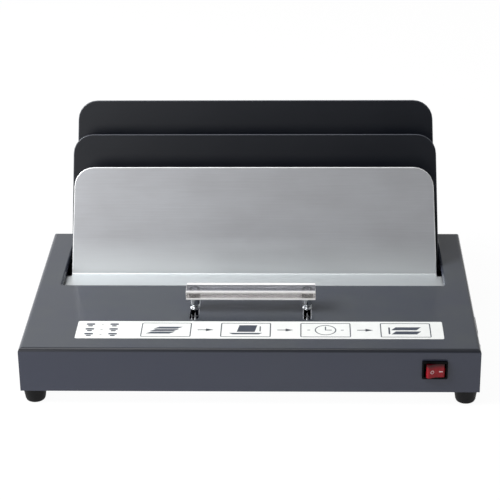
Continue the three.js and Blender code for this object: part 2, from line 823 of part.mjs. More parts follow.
const carrierTop = -fixedFlangeDrop - plateThickness - seatGap;
const carrierFront = middle.bendY + carrierFrontGap;
const carrierRear = housingDepth - sheet - carrierRearGap;
const carrierHalf = carrierSheet / 2;
const carrierLow = panFloor + seatGap + carrierHalf;
const carrierSection = bandShape(bentPath(
  [carrierFront + carrierFoot, carrierLow],
  [carrierFront, carrierLow],
  [carrierFront, carrierTop - carrierHalf],
  [carrierRear, carrierTop - carrierHalf],
  [carrierRear, carrierLow],
  [carrierRear - carrierFoot, carrierLow],
), carrierSheet, carrierBend);
const rivetPlaces = [];
[['middle', middle], ['rear', rear]].forEach(([plateName, plate]) => {
  sides.forEach(([sideName, side]) => {
    rivetPlaces.push([`${plateName}_${sideName}`, side * plate.rivetX, plate.rivetY]);
  });
});
const carrierHoles = rivetPlaces.map(([, x, y]) => cylinder(rivetShankRadius + runGap, 2 * overrun, fineSteps)
  .translate(x, y, carrierTop));
addPiece(
  'plate_carrier',
  cut(prismX(carrierSection, 2 * carrierHalfWidth), ...carrierHoles),
  '#9a9d9f',
  0.5,
  0.7,
);

const rivetGrip = plateThickness + carrierSheet + 3 * seatGap;
const rivetProfile = [
  [0, -rivetGrip - rivetTailHeight],
  [rivetTailRadius * rivetCrownShare, -rivetGrip - rivetTailHeight],
  [rivetTailRadius, -rivetGrip],
  [rivetShankRadius, -rivetGrip],
  [rivetShankRadius, 0],
  [rivetHeadRadius, 0],
  [rivetHeadRadius * rivetCrownShare, rivetHeadHeight * rivetWallShare],
  [0, rivetHeadHeight],
];
rivetPlaces.forEach(([place, x, y]) => {
  const rivetPlace = [x, y, -fixedFlangeDrop + seatGap];
  addPiece(`rivet_${place}`, turned(rivetProfile, fineSteps), '#8d9094', 0.4, 0.9, rivetPlace);
});

// Heating plate with its element, insulation, tray and standoffs

const heaterTop = clampFlangeUnder - heaterGap;
const heaterUnder = heaterTop - heaterThickness;
const heaterRear = middleFaceY + heaterUnder * tanLean - heaterRearGap;
const heaterY = (heaterFront + heaterRear) / 2;
const heaterDepth = heaterRear - heaterFront;
const matDepth = heaterDepth - 2 * (trayFlange + traySheet + seatGap);
const matTop = heaterUnder - seatGap;
const boardTop = matTop - matThickness - seatGap;
const trayFloorTop = boardTop - boardThickness - seatGap;

const heaterShape = rectangle(2 * heaterHalfWidth, heaterDepth, plateBend, slotSteps / 2);
addPiece(
  'heating_plate',
  prismZ(heaterShape, heaterThickness),
  '#a9adb0',
  0.45,
  0.9,
  [0, heaterY, heaterUnder],
);
addPiece(
  'heater_mat',
  prismZ(rectangle(2 * matHalfWidth, matDepth), matThickness),
  '#b5561f',
  0.7,
  0,
  [0, heaterY, matTop - matThickness],
);
addPiece(
  'insulation_board',
  prismZ(rectangle(2 * matHalfWidth, matDepth), boardThickness),
  '#ddd8c8',
  0.95,
  0,
  [0, heaterY, boardTop - boardThickness],
);

const trayWall = heaterDepth / 2 - trayFlange - traySheet / 2;
const trayRim = heaterUnder - seatGap - traySheet / 2;
const trayFloor = trayFloorTop - traySheet / 2;
const traySection = bandShape(bentPath(
  [-trayWall - trayFlange, trayRim],
  [-trayWall, trayRim],
  [-trayWall, trayFloor],
  [trayWall, trayFloor],
  [trayWall, trayRim],
  [trayWall + trayFlange, trayRim],
), traySheet, trayBend);
addPiece('heater_tray', prismX(traySection, 2 * heaterHalfWidth), '#9a9d9f', 0.5, 0.7, [0, heaterY, 0]);

const standoffTop = trayFloorTop - traySheet - seatGap;
const standoffLength = standoffTop - panFloor - seatGap;
sides.forEach(([sideName, side]) => {
  [['front', -1], ['rear', 1]].forEach(([placeName, end]) => {
    const place = [
      side * (heaterHalfWidth - standoffInset),
      heaterY + end * (trayWall - standoffRadius - 2 * trayBend),
      panFloor + seatGap + standoffLength / 2,
    ];
    addPiece(`heater_standoff_${placeName}_${sideName}`, cylinder(standoffRadius, standoffLength, fineSteps),
      '#c9c9c4', 0.6, 0.2, place);
  });
});

// Thermostat: a snap disc against the heating plate's underside, beyond the element's end

const thermostatX = -(matHalfWidth + heaterHalfWidth) / 2;
const thermostatTop = heaterUnder - seatGap;
const thermostatBase = -thermostatCapHeight - thermostatHeight;
const thermostatBody = turned([
  [0, thermostatBase],
  [thermostatRadius, thermostatBase],
  [thermostatRadius, -thermostatCapHeight],
  [thermostatCapRadius, -thermostatCapHeight],
  [thermostatCapRadius, 0],
  [0, 0],
], fineSteps);
const thermostatTabs = sides.map(([, side]) => new THREE.BoxGeometry(
  thermostatTabLength + thermostatRadius,
  thermostatTabWidth,
  thermostatTabThickness,
).translate((side * (thermostatTabLength + thermostatRadius)) / 2, 0, thermostatBase + thermostatTabThickness));
addPiece(
  'thermostat',
  join(thermostatBody, ...thermostatTabs),
  '#3a2a22',
  0.5,
  0,
  [thermostatX, heaterY, thermostatTop],
);

// Power switch: a snap-in body in the front wall and a rocker that tips about an upright axis

const switchGroup = new THREE.Group();
switchGroup.position.set(switchX, 0, -switchDrop);
machine.add(switchGroup);

const bezelBack = -seatGap;
const bezelFront = bezelBack - bezelThickness;
const pivotY = bezelFront + rockerPivotDepth;
const windowHalf = rockerHalf + rockerClearance + rockerValley * Math.sin(rockerThrow);
const windowDepth = rockerPivotDepth + rockerHeel + rockerClearance * 2;
const bezel = prismY(rectangle(bezelWidth, bezelHeight, bezelRound, slotSteps / 2), bezelThickness)
  .translate(0, bezelFront + bezelThickness / 2, 0);
const switchBody = prismY(rectangle(bodyWidth, bodyHeight), bodyDepth + bezelThickness / 2)
  .translate(0, bezelBack + bodyDepth / 2 - bezelThickness / 4, 0);
const rockerWell = prismY(rectangle(2 * windowHalf, rockerHeight + 2 * runGap), windowDepth + overrun)
  .translate(0, bezelFront + (windowDepth - overrun) / 2, 0);
const trunnionBore = cylinder(trunnionRadius + runGap, rockerHeight + 2 * (trunnionLength + runGap), fineSteps)
  .translate(0, pivotY, 0);
const blades = [-1, 0, 1].map((way) => new THREE.BoxGeometry(bladeThickness, bladeLength + overrun, bladeWidth)
  .translate(way * bladeSpacing, bezelBack + bodyDepth + (bladeLength - overrun) / 2, 0));
const wellFloor = new THREE.BoxGeometry(bodyWidth, bodyDepth - windowDepth, bodyHeight)
  .translate(0, bezelBack + bodyDepth - (bodyDepth - windowDepth) / 2, 0);
addPiece(
  'switch_body',
  join(cut(join(bezel, switchBody), rockerWell, trunnionBore), wellFloor, ...blades),
  '#141416',
  0.4,
  0,
  [0, 0, 0],
  switchGroup,
);

const rockerProud = rockerValley + rockerHalf * Math.tan(rockerThrow);
const rockerShape = outline([
  [0, -rockerValley], [rockerHalf, -rockerProud, rockerShoulder], [rockerHalf, -rockerProud / 2],
  [rockerHeelHalf, rockerHeel], [-rockerHeelHalf, rockerHeel], [-rockerHalf, -rockerProud / 2],
  [-rockerHalf, -rockerProud, rockerShoulder],
]);
const rockerSolid = join(
  prismZ(rockerShape, rockerHeight).translate(0, 0, -rockerHeight / 2),
  cylinder(trunnionRadius, rockerHeight + 2 * trunnionLength, fineSteps),
);
const rocker = addPiece('rocker', rockerSolid, '#b01822', 0.2, 0, [0, pivotY, 0], switchGroup);
rocker.rotation.z = rockerThrow;

// Power inlet: an appliance socket with three pins in the right-hand wall

const inletGroup = new THREE.Group();
inletGroup.position.set(housingWidth / 2 + seatGap, inletY, -inletDrop);
machine.add(inletGroup);

const inletOutline = (length, height, bevel) => outline([
  [-length / 2, -height / 2], [length / 2, -height / 2], [length / 2, height / 2 - bevel],
  [length / 2 - bevel, height / 2], [-length / 2 + bevel, height / 2], [-length / 2, height / 2 - bevel],
]);
const flangeShape = outline([
  [-inletFlangeLength / 2, -inletEar, inletEar], [-inletBodyLength / 2, -inletFlangeHeight / 2],
  [inletBodyLength / 2, -inletFlangeHeight / 2], [inletFlangeLength / 2, -inletEar, inletEar],
  [inletFlangeLength / 2, inletEar, inletEar], [inletBodyLength / 2, inletFlangeHeight / 2],
  [-inletBodyLength / 2, inletFlangeHeight / 2], [-inletFlangeLength / 2, inletEar, inletEar],
], slotSteps);
const inletFlange = prismX(flangeShape, inletFlangeThickness).translate(inletFlangeThickness / 2, 0, 0);
const inletBody = prismX(inletOutline(inletBodyLength, inletBodyHeight, inletBevel), inletBodyDepth)
  .translate(-inletBodyDepth / 2 + inletFlangeThickness / 2, 0, 0);
const cavityLength = inletBodyLength - 2 * inletWall;
const cavityHeight = inletBodyHeight - 2 * inletWall;
const inletCavity = prismX(inletOutline(cavityLength, cavityHeight, inletBevel), inletCavityDepth + overrun)
  .translate(inletFlangeThickness - (inletCavityDepth - overrun) / 2, 0, 0);
const cavityFloor = inletFlangeThickness - inletCavityDepth;
const pinPlaces = [[-inletPinSpacing / 2, -inletPinRise], [0, inletPinRise], [inletPinSpacing / 2, -inletPinRise]];
const pinLength = inletPinLength + inletWall / 2;
const inletPins = pinPlaces.map(([y, z]) => new THREE.BoxGeometry(pinLength, inletPinThickness, inletPinWidth)
  .translate(cavityFloor + (inletPinLength - inletWall / 2) / 2, y, z));
const tabRoot = inletFlangeThickness / 2 - inletBodyDepth;
const inletTabs = pinPlaces.map(([y, z]) => new THREE.BoxGeometry(
  inletTabLength + inletWall / 2,
  inletTabThickness,
  inletTabWidth,
).translate(tabRoot - (inletTabLength - inletWall / 2) / 2, y, z));
const inletHoles = [-1, 1].map((end) => cylinder(inletScrewRadius + runGap, 2 * overrun, fineSteps)
  .rotateY(Math.PI / 2)
  .translate(0, (end * inletScrewSpacing) / 2, 0));
addPiece(
  'power_inlet',
  join(cut(join(inletFlange, inletBody), inletCavity, ...inletHoles), ...inletPins, ...inletTabs),
  '#1a1a1c',
  0.5,
  0,
  [0, 0, 0],
  inletGroup,
);
[['front', -1], ['rear', 1]].forEach(([placeName, end]) => {
  const length = inletFlangeThickness + sheet + 2 * inletScrewRadius;
  const screw = panScrew(inletScrewRadius, length, inletScrewHeadRadius, inletScrewHeadHeight).rotateY(Math.PI / 2);
  const place = [inletFlangeThickness + seatGap, (end * inletScrewSpacing) / 2, 0];
  addPiece(`inlet_screw_${placeName}`, screw, '#b9bcc0', 0.3, 1, place, inletGroup);
});

// Terminal block on the pan, stepped, with a screw well for each way on both sides

const terminalWidth = terminalWays * terminalPitch;
const terminalSection = outline([
  [-terminalDepth / 2, 0], [terminalDepth / 2, 0], [terminalDepth / 2, terminalHeight - terminalStep],
  [terminalDepth / 4, terminalHeight - terminalStep], [terminalDepth / 4, terminalHeight],
  [-terminalDepth / 4, terminalHeight], [-terminalDepth / 4, terminalHeight - terminalStep],
  [-terminalDepth / 2, terminalHeight - terminalStep],
]);
const terminalWells = [];
for (let way = 0; way < terminalWays; way += 1) {
  const x = (way - (terminalWays - 1) / 2) * terminalPitch;
  [-1, 1].forEach((end) => {
    const y = end * terminalDepth * terminalWellShare;
    terminalWells.push(cylinder(terminalWellRadius, 2 * terminalWellDepth, slotSteps * 2)
      .translate(x, y, terminalHeight - terminalStep));
  });
}
addPiece(
  'terminal_block',
  cut(prismX(terminalSection, terminalWidth), ...terminalWells),
  '#e8e6dd',
  0.6,
  0,
  [terminalX, terminalY, panFloor + seatGap],
);

// The whole machine stands on its feet, centred on the floor

const reach = new THREE.Box3().setFromObject(machine);
const middlePoint = reach.getCenter(new THREE.Vector3());
machine.position.set(-middlePoint.x, -middlePoint.y, -reach.min.z);

const part = new THREE.Group();
part.add(machine);
part.updateMatrixWorld(true);

export default part;
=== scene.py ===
import json
import math

import bmesh
import bpy
from mathutils import Matrix, Vector


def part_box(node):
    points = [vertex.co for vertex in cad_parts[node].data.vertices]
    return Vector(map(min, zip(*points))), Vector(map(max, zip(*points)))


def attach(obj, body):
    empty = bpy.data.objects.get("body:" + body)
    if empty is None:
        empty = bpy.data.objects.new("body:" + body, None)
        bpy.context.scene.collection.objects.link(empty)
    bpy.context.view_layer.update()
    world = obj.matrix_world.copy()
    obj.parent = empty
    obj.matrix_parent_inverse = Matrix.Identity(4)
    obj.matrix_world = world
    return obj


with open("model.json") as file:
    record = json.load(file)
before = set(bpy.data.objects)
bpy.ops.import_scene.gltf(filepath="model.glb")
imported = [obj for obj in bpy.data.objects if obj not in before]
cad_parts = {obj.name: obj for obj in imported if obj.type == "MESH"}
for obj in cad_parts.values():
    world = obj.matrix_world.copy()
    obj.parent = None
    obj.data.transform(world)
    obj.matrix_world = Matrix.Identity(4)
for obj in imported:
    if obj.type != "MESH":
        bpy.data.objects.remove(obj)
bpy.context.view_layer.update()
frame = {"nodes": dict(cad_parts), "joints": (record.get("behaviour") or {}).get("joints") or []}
nodes = frame["nodes"]
mm = 0.001

# Housing cover
# One blank of 1.2 mm cold-rolled steel, folded into a box and turned down round its opening, then
# sprayed with stoving enamel. The screws in its side walls pull it onto the base pan.


def linear(colour):
    """An sRGB hex colour as linear red, green, blue and alpha."""
    parts = [int(colour[start:start + 2], 16) / 255 for start in (1, 3, 5)]
    return (*[part / 12.92 if part <= 0.04045 else ((part + 0.055) / 1.055) ** 2.4 for part in parts], 1.0)


def add_node(tree, kind, sockets=(), **settings):
    """One more node in a tree: its settings by name, its sockets by value or by what feeds them."""
    node = tree.nodes.new(kind)
    for name, value in settings.items():
        setattr(node, name, value)
    for name, value in dict(sockets).items():
        if isinstance(value, bpy.types.NodeSocket):
            tree.links.new(value, node.inputs[name])
        else:
            node.inputs[name].default_value = value
    return node


def new_finish(name, **sockets):
    """A finish with its shader's sockets set by name, a space in a name written as a low line. It gives
    the material, its node tree, its shader and the place on the piece, in metres."""
    finish = bpy.data.materials.new(name)
    finish.use_nodes = True
    tree = finish.node_tree
    tree.nodes.clear()
    settings = {socket.replace("_", " "): value for socket, value in sockets.items()}
    shader = add_node(tree, "ShaderNodeBsdfPrincipled", settings)
    add_node(tree, "ShaderNodeOutputMaterial", {"Surface": shader.outputs[0]})
    place = add_node(tree, "ShaderNodeTexCoord").outputs["Object"]
    return finish, tree, shader, place


def stoved_enamel(name, colour, dust_sheen_colour, bend_shade, sheen, drawn):
    """Baked enamel on folded sheet: an even gloss over a fine orange peel. Faces that look up take a
    greyer, paler colour, partly where dirt lies in patches and partly as a painted sheen. Along the bend at
    the front the colour is painted darker, a painted line of shade. The sheet beneath is drawn by its
    folds, so reflections in it bend a little."""
    finish, tree, shader, place = new_finish(name, IOR=1.5, Specular_IOR_Level=0.42)
    clouds = add_node(tree, "ShaderNodeTexNoise", {"Vector": place, "Scale": 1 / (45 * mm), "Detail": 4.0})
    facing = add_node(tree, "ShaderNodeTexCoord").outputs["Normal"]
    facing = add_node(tree, "ShaderNodeSeparateXYZ", {"Vector": facing})
    # Up-facing faces take a greyer, paler colour: partly dust in patches, partly a painted sheen.
    facing_up = add_node(tree, "ShaderNodeMapRange", {"Value": facing.outputs["Z"], "To Min": 0.3})
    patches = add_node(tree, "ShaderNodeMapRange", {"Value": clouds.outputs["Fac"], "From Min": 0.3,
                                                    "From Max": 0.7, "To Min": 0.6})
    dust_sheen_mask = add_node(tree, "ShaderNodeMath", {0: facing_up.outputs[0], 1: patches.outputs[0]},
                    operation="MULTIPLY")
    film = add_node(tree, "ShaderNodeMix", {"Factor": dust_sheen_mask.outputs[0], "A": linear(colour),
                                            "B": linear(dust_sheen_colour)}, data_type="RGBA")
    # Painted shade: the front bend takes a darker colour, as a line of shade.
    bend = add_node(tree, "ShaderNodeMath", {0: facing.outputs["Y"], 1: facing.outputs["Z"]},
                    operation="MULTIPLY")
    bend = add_node(tree, "ShaderNodeMapRange", {"Value": bend.outputs[0], "From Max": -0.4})
    shade = add_node(tree, "ShaderNodeMix", {"Factor": bend.outputs[0], "A": film.outputs["Result"],
                                             "B": linear(bend_shade)}, data_type="RGBA")
    tree.links.new(shade.outputs["Result"], shader.inputs["Base Color"])
    dulled = add_node(tree, "ShaderNodeMapRange", {"Value": clouds.outputs["Fac"], "From Min": 0.3,
                                                   "From Max": 0.7, "To Min": sheen,
                                                   "To Max": sheen + 0.07})
    tree.links.new(dulled.outputs[0], shader.inputs["Roughness"])
    peel = add_node(tree, "ShaderNodeTexNoise", {"Vector": place, "Scale": 1 / (1.1 * mm), "Detail": 1.0})
    skin = add_node(tree, "ShaderNodeBump", {"Height": peel.outputs["Fac"], "Strength": 0.1,
                                             "Distance": 0.04 * mm})
    swell = add_node(tree, "ShaderNodeTexNoise", {"Vector": place, "Scale": 1 / (80 * mm), "Detail": 1.0})
    sheet = add_node(tree, "ShaderNodeBump", {"Height": swell.outputs["Fac"], "Distance": drawn * mm,
                                              "Normal": skin.outputs[0]})
    tree.links.new(sheet.outputs[0], shader.inputs["Normal"])
    return finish


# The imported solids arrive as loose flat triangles. This chain closes them up and shades them smooth.
closed_up = bpy.data.node_groups.new("closed_up", "GeometryNodeTree")
closed_up.interface.new_socket("Geometry", in_out="INPUT", socket_type="NodeSocketGeometry")
closed_up.interface.new_socket("Geometry", in_out="OUTPUT", socket_type="NodeSocketGeometry")
raw_solid = add_node(closed_up, "NodeGroupInput")
plain_solid = add_node(closed_up, "GeometryNodeRemoveAttribute", {"Geometry": raw_solid.outputs[0],
                                                                  "Name": "custom_normal"})
joined_solid = add_node(closed_up, "GeometryNodeMergeByDistance", {"Geometry": plain_solid.outputs[0],
                                                                   "Distance": 0.001 * mm})
smooth_solid = add_node(closed_up, "GeometryNodeSetShadeSmooth", {"Geometry": joined_solid.outputs[0]})
add_node(closed_up, "NodeGroupOutput", {0: smooth_solid.outputs[0]})


def dress(names, finish, edge=0.3, edge_finish=None, sharp=30):
    """Gives CAD nodes their finish, and breaks their edges as deburring or tooling does: by a width in
    millimetres, wherever they are sharper than an angle in degrees."""
    for name in names:
        node = nodes[name]
        node.data.materials.clear()
        node.data.materials.append(finish)
        node.data.materials.append(edge_finish or finish)
        closing = node.modifiers.new("closed_up", "NODES")
        closing.node_group = closed_up
        flats = node.modifiers.new("flats", "DECIMATE")
        flats.decimate_type = "DISSOLVE"
        flats.angle_limit = math.radians(0.5)
        broken = node.modifiers.new("broken_edge", "BEVEL")
        broken.width = edge * mm
        broken.segments = 2
        broken.limit_method = "ANGLE"
        broken.angle_limit = math.radians(sharp)
        broken.material = 1
        broken.use_clamp_overlap = edge < 0.5
        even = node.modifiers.new("even_shading", "WEIGHTED_NORMAL")
        even.keep_sharp = False
        even.weight = 100


# Slate blue, greyed and lightened on top, partly by dust and partly as a painted sheen, and painted darker
# along the front bend as a line of shade. The cut edges are rubbed matt, so they read a little paler.
housing_enamel = stoved_enamel("housing_enamel", "#363a4c", "#44484d", "#24262c", 0.16, 0.35)
worn_enamel = stoved_enamel("worn_enamel", "#424655", "#4c5057", "#24262c", 0.3, 0.1)
dress(["housing_cover"], housing_enamel, 0.35, worn_enamel, 40)

# Base pan, feet and their fasteners
# The pan is zinc-plated sheet with vents under the heater. Four moulded rubber feet hang from it on
# pan-head screws and hexagon nuts, and four more screws hold the cover to its lips.


def zinc_plated(name, colour, cloudy, dullness):
    """Zinc plating over rolled steel: a pale blue-grey metal, clouded, with faint rolling lines along x.
    Real lines are too fine to show and are drawn 0.6 mm wide."""
    finish, tree, shader, place = new_finish(name, Metallic=1.0)
    clouds = add_node(tree, "ShaderNodeTexNoise", {"Vector": place, "Scale": 1 / (9 * mm), "Detail": 5.0})
    shade = add_node(tree, "ShaderNodeMix", {"Factor": clouds.outputs["Fac"], "A": linear(colour),
                                             "B": linear(cloudy)}, data_type="RGBA")
    tree.links.new(shade.outputs["Result"], shader.inputs["Base Color"])
    dulled = add_node(tree, "ShaderNodeMapRange", {"Value": clouds.outputs["Fac"], "From Min": 0.3,
                                                   "From Max": 0.7, "To Min": dullness,
                                                   "To Max": dullness + 0.15})
    tree.links.new(dulled.outputs[0], shader.inputs["Roughness"])
    along = add_node(tree, "ShaderNodeMapping", {"Vector": place, "Scale": (0.03, 1.0, 1.0)})
    lines = add_node(tree, "ShaderNodeTexNoise", {"Vector": along.outputs[0], "Scale": 1 / (0.6 * mm)})
    bump = add_node(tree, "ShaderNodeBump", {"Height": lines.outputs["Fac"], "Strength": 0.1,
                                             "Distance": 0.03 * mm})
    tree.links.new(bump.outputs[0], shader.inputs["Normal"])
    return finish


corners = [f"{end}_{side}" for end in ("front", "rear") for side in ("left", "right")]

# Plated in a rack, the sheet stays dull. Small parts tumble in a barrel and come out brighter.
plated_sheet = zinc_plated("zinc_plated_sheet", "#b4b8bb", "#94999d", 0.38)
plated_screws = zinc_plated("zinc_plated_screws", "#c3c6ca", "#a4a8ad", 0.25)
dress(["base_pan"], plated_sheet, 0.25, None, 40)
dress([f"foot_nut_{corner}" for corner in corners], plated_screws, 0.25)
dress([f"foot_screw_{corner}" for corner in corners], plated_screws, 0.15, None, 40)
dress([f"cover_screw_{corner}" for corner in corners], plated_screws, 0.15, None, 40)

# Natural rubber filled with carbon black, moulded: dead black and matt, greyed where it is handled. The
# mould's fine grain is drawn 0.5 mm wide to show.
foot_rubber, tree, shader, place = new_finish("foot_rubber", IOR=1.52, Specular_IOR_Level=0.2)
bloom = add_node(tree, "ShaderNodeTexNoise", {"Vector": place, "Scale": 1 / (4 * mm), "Detail": 6.0})
shade = add_node(tree, "ShaderNodeMix", {"Factor": bloom.outputs["Fac"], "A": linear("#060608"),
                                         "B": linear("#0e0e11")}, data_type="RGBA")
tree.links.new(shade.outputs["Result"], shader.inputs["Base Color"])
matt = add_node(tree, "ShaderNodeMapRange", {"Value": bloom.outputs["Fac"], "To Min": 0.5, "To Max": 0.75})
tree.links.new(matt.outputs[0], shader.inputs["Roughness"])
skin = add_node(tree, "ShaderNodeTexNoise", {"Vector": place, "Scale": 1 / (0.5 * mm), "Detail": 3.0})
bump = add_node(tree, "ShaderNodeBump", {"Height": skin.outputs["Fac"], "Strength": 0.2,
                                         "Distance": 0.05 * mm})
tree.links.new(bump.outputs[0], shader.inputs["Normal"])
dress([f"foot_{corner}" for corner in corners], foot_rubber, 0.4, None, 25)

# Fixed plates
# Two leaves of black-enamelled steel lean back between the binding gap and the cooling pocket. They
# are riveted through their flanges to a folded zinc-plated carrier on the pan.

# Blue-black and satin, a touch paler where it faces up, partly dust and partly a painted sheen. The rounded
# rims are painted pale grey as a painted highlight, so each leaf has a thin grey outline.
plate_enamel = stoved_enamel("plate_enamel", "#060a13", "#0a0f1a", "#060a13", 0.3, 0.3)
rounded_edge = stoved_enamel("rounded_edge", "#484b53", "#54575e", "#484b53", 0.22, 0.1)
dress(["middle_plate", "rear_plate"], plate_enamel, 0.7, rounded_edge, 30)
dress(["plate_carrier"], plated_sheet, 0.25)
rivets = [f"rivet_{row}_{side}" for row in ("middle", "rear") for side in ("left", "right")]
dress(rivets, plated_screws, 0.15)

# Heater
# A milled aluminium plate lies under the spines. Below it are a silicone heating mat, a fibre board
# and a folded tray on four ceramic standoffs, with a snap-disc thermostat beside the mat.

# Cut by a fly cutter and left bare: a grey metal, brown-stained in use, with a band every 4 mm. One
# band of the wave texture is pi / 10 long at a scale of 1.
milled_aluminium, tree, shader, place = new_finish("milled_aluminium", Metallic=1.0, Roughness=0.4)
stain = add_node(tree, "ShaderNodeTexNoise", {"Vector": place, "Scale": 1 / (25 * mm), "Detail": 5.0})
shade = add_node(tree, "ShaderNodeMix", {"Factor": stain.outputs["Fac"], "A": linear("#a9adb0"),
                                         "B": linear("#8c8a84")}, data_type="RGBA")
tree.links.new(shade.outputs["Result"], shader.inputs["Base Color"])
band_length = math.pi / 10
cutter = add_node(tree, "ShaderNodeTexWave", {"Vector": place, "Scale": band_length / (4 * mm),
                                              "Distortion": 0.6}, bands_direction="X")
bump = add_node(tree, "ShaderNodeBump", {"Height": cutter.outputs["Fac"], "Strength": 0.15,
                                         "Distance": 0.02 * mm})
tree.links.new(bump.outputs[0], shader.inputs["Normal"])
dress(["heating_plate"], milled_aluminium)

# Red-brown silicone rubber with a woven glass core, pressed flat: a cloth grain shows through. Real
# threads are too fine to show and are drawn 1.6 mm apart.
heater_silicone, tree, shader, place = new_finish("heater_silicone", IOR=1.43, Roughness=0.55)
thread = 1.6 * mm
warp, weft = (add_node(tree, "ShaderNodeTexWave", {"Vector": place, "Scale": band_length / thread},
                       bands_direction=direction) for direction in ("X", "Y"))
weave = add_node(tree, "ShaderNodeMath", {0: warp.outputs["Fac"], 1: weft.outputs["Fac"]},
                 operation="MAXIMUM")
shade = add_node(tree, "ShaderNodeMix", {"Factor": weave.outputs[0], "A": linear("#a04c1b"),
                                         "B": linear("#bb5c24")}, data_type="RGBA")
tree.links.new(shade.outputs["Result"], shader.inputs["Base Color"])
bump = add_node(tree, "ShaderNodeBump", {"Height": weave.outputs[0], "Strength": 0.3, "Distance": 0.1 * mm})
tree.links.new(bump.outputs[0], shader.inputs["Normal"])
dress(["heater_mat"], heater_silicone, 0.2)

# Pressed ceramic fibre: chalky, off-white and felted.
fibre_board, tree, shader, place = new_finish("fibre_board", IOR=1.5, Roughness=0.95)
felt = add_node(tree, "ShaderNodeTexNoise", {"Vector": place, "Scale": 1 / (2 * mm), "Detail": 8.0})
shade = add_node(tree, "ShaderNodeMix", {"Factor": felt.outputs["Fac"], "A": linear("#e2ddcd"),
                                         "B": linear("#c4bda9")}, data_type="RGBA")
tree.links.new(shade.outputs["Result"], shader.inputs["Base Color"])
bump = add_node(tree, "ShaderNodeBump", {"Height": felt.outputs["Fac"], "Strength": 0.5,
                                         "Distance": 0.2 * mm})
tree.links.new(bump.outputs[0], shader.inputs["Normal"])
dress(["insulation_board"], fibre_board, 0.4)
dress(["heater_tray"], plated_sheet, 0.2)

# Unglazed steatite, pressed and fired: a warm white, dry and faintly mottled.
steatite, tree, shader, place = new_finish("steatite", IOR=1.6, Roughness=0.55)
fired = add_node(tree, "ShaderNodeTexNoise", {"Vector": place, "Scale": 1 / (1.5 * mm), "Detail": 6.0})
shade = add_node(tree, "ShaderNodeMix", {"Factor": fired.outputs["Fac"], "A": linear("#e4e1d8"),
                                         "B": linear("#d2cdc0")}, data_type="RGBA")
tree.links.new(shade.outputs["Result"], shader.inputs["Base Color"])
dress([f"heater_standoff_{corner}" for corner in corners], steatite, 0.4)


def moulded_plastic(name, colour, streak, gloss, grit, lustre=0.5):
    """A moulded plastic: an even colour with faint flow marks and the tool's spark-eroded grain, whose
    grit is given in millimetres and is coarser than the real one, to show."""
    finish, tree, shader, place = new_finish(name, IOR=1.5, Specular_IOR_Level=lustre)
    flow = add_node(tree, "ShaderNodeTexNoise", {"Vector": place, "Scale": 1 / (7 * mm), "Distortion": 1.5})
    shade = add_node(tree, "ShaderNodeMix", {"Factor": flow.outputs["Fac"], "A": linear(colour),
                                             "B": linear(streak)}, data_type="RGBA")
    tree.links.new(shade.outputs["Result"], shader.inputs["Base Color"])
    glossy = add_node(tree, "ShaderNodeMapRange", {"Value": flow.outputs["Fac"], "To Min": gloss,
                                                   "To Max": gloss + 0.12})
    tree.links.new(glossy.outputs[0], shader.inputs["Roughness"])
    grain = add_node(tree, "ShaderNodeTexNoise", {"Vector": place, "Scale": 1 / (grit * mm), "Detail": 2.0})
    bump = add_node(tree, "ShaderNodeBump", {"Height": grain.outputs["Fac"], "Strength": 0.15,
                                             "Distance": 0.03 * mm})
    tree.links.new(bump.outputs[0], shader.inputs["Normal"])
    return finish


# Moulded phenolic resin: a dark brown, harder and glossier than the nylon parts.
phenolic = moulded_plastic("brown_phenolic", "#3a2820", "#2c1d17", 0.35, 0.6)
dress(["thermostat"], phenolic, 0.25)

# Guide rods, brackets and slide blocks
# Two ground steel rods sit in folded brackets on the pan. The clamp carriage runs on them in moulded
# nylon blocks, each held up to the clamp plate's flange by one screw.

# Centreless-ground steel: bright, with fine lines round the rod that oil fills in places. They are drawn
# 0.5 mm wide, because real ones are too fine to show.
ground_rod, tree, shader, place = new_finish("ground_rod", Metallic=1.0, Base_Color=linear("#c6c9cc"))
around = add_node(tree, "ShaderNodeMapping", {"Vector": place, "Scale": (0.1, 1.0, 0.1)})
grind = add_node(tree, "ShaderNodeTexNoise", {"Vector": around.outputs[0], "Scale": 1 / (0.5 * mm)})
oily = add_node(tree, "ShaderNodeMapRange", {"Value": grind.outputs["Fac"], "To Min": 0.12, "To Max": 0.3})
tree.links.new(oily.outputs[0], shader.inputs["Roughness"])
bump = add_node(tree, "ShaderNodeBump", {"Height": grind.outputs["Fac"], "Strength": 0.08,
                                         "Distance": 0.02 * mm})
tree.links.new(bump.outputs[0], shader.inputs["Normal"])
dress(["guide_rod_left", "guide_rod_right"], ground_rod, 0.4)
dress(["guide_bracket_front", "guide_bracket_rear"], plated_sheet, 0.25)

# Undyed nylon: a warm off-white with a low, waxy gloss.
natural_nylon = moulded_plastic("natural_nylon", "#e3dfd2", "#d8d2c2", 0.4, 0.8)
dress(["slide_block_left", "slide_block_right"], natural_nylon, 0.4)
dress(["block_screw_left", "block_screw_right"], plated_screws, 0.15, None, 40)

# Clamp plate
# A leaf of 1.5 mm aluminium bent up from a wide flange that slides under the cover. The sheet is
# brushed along its length and clear anodised, and its edges are rounded over and polished bright.

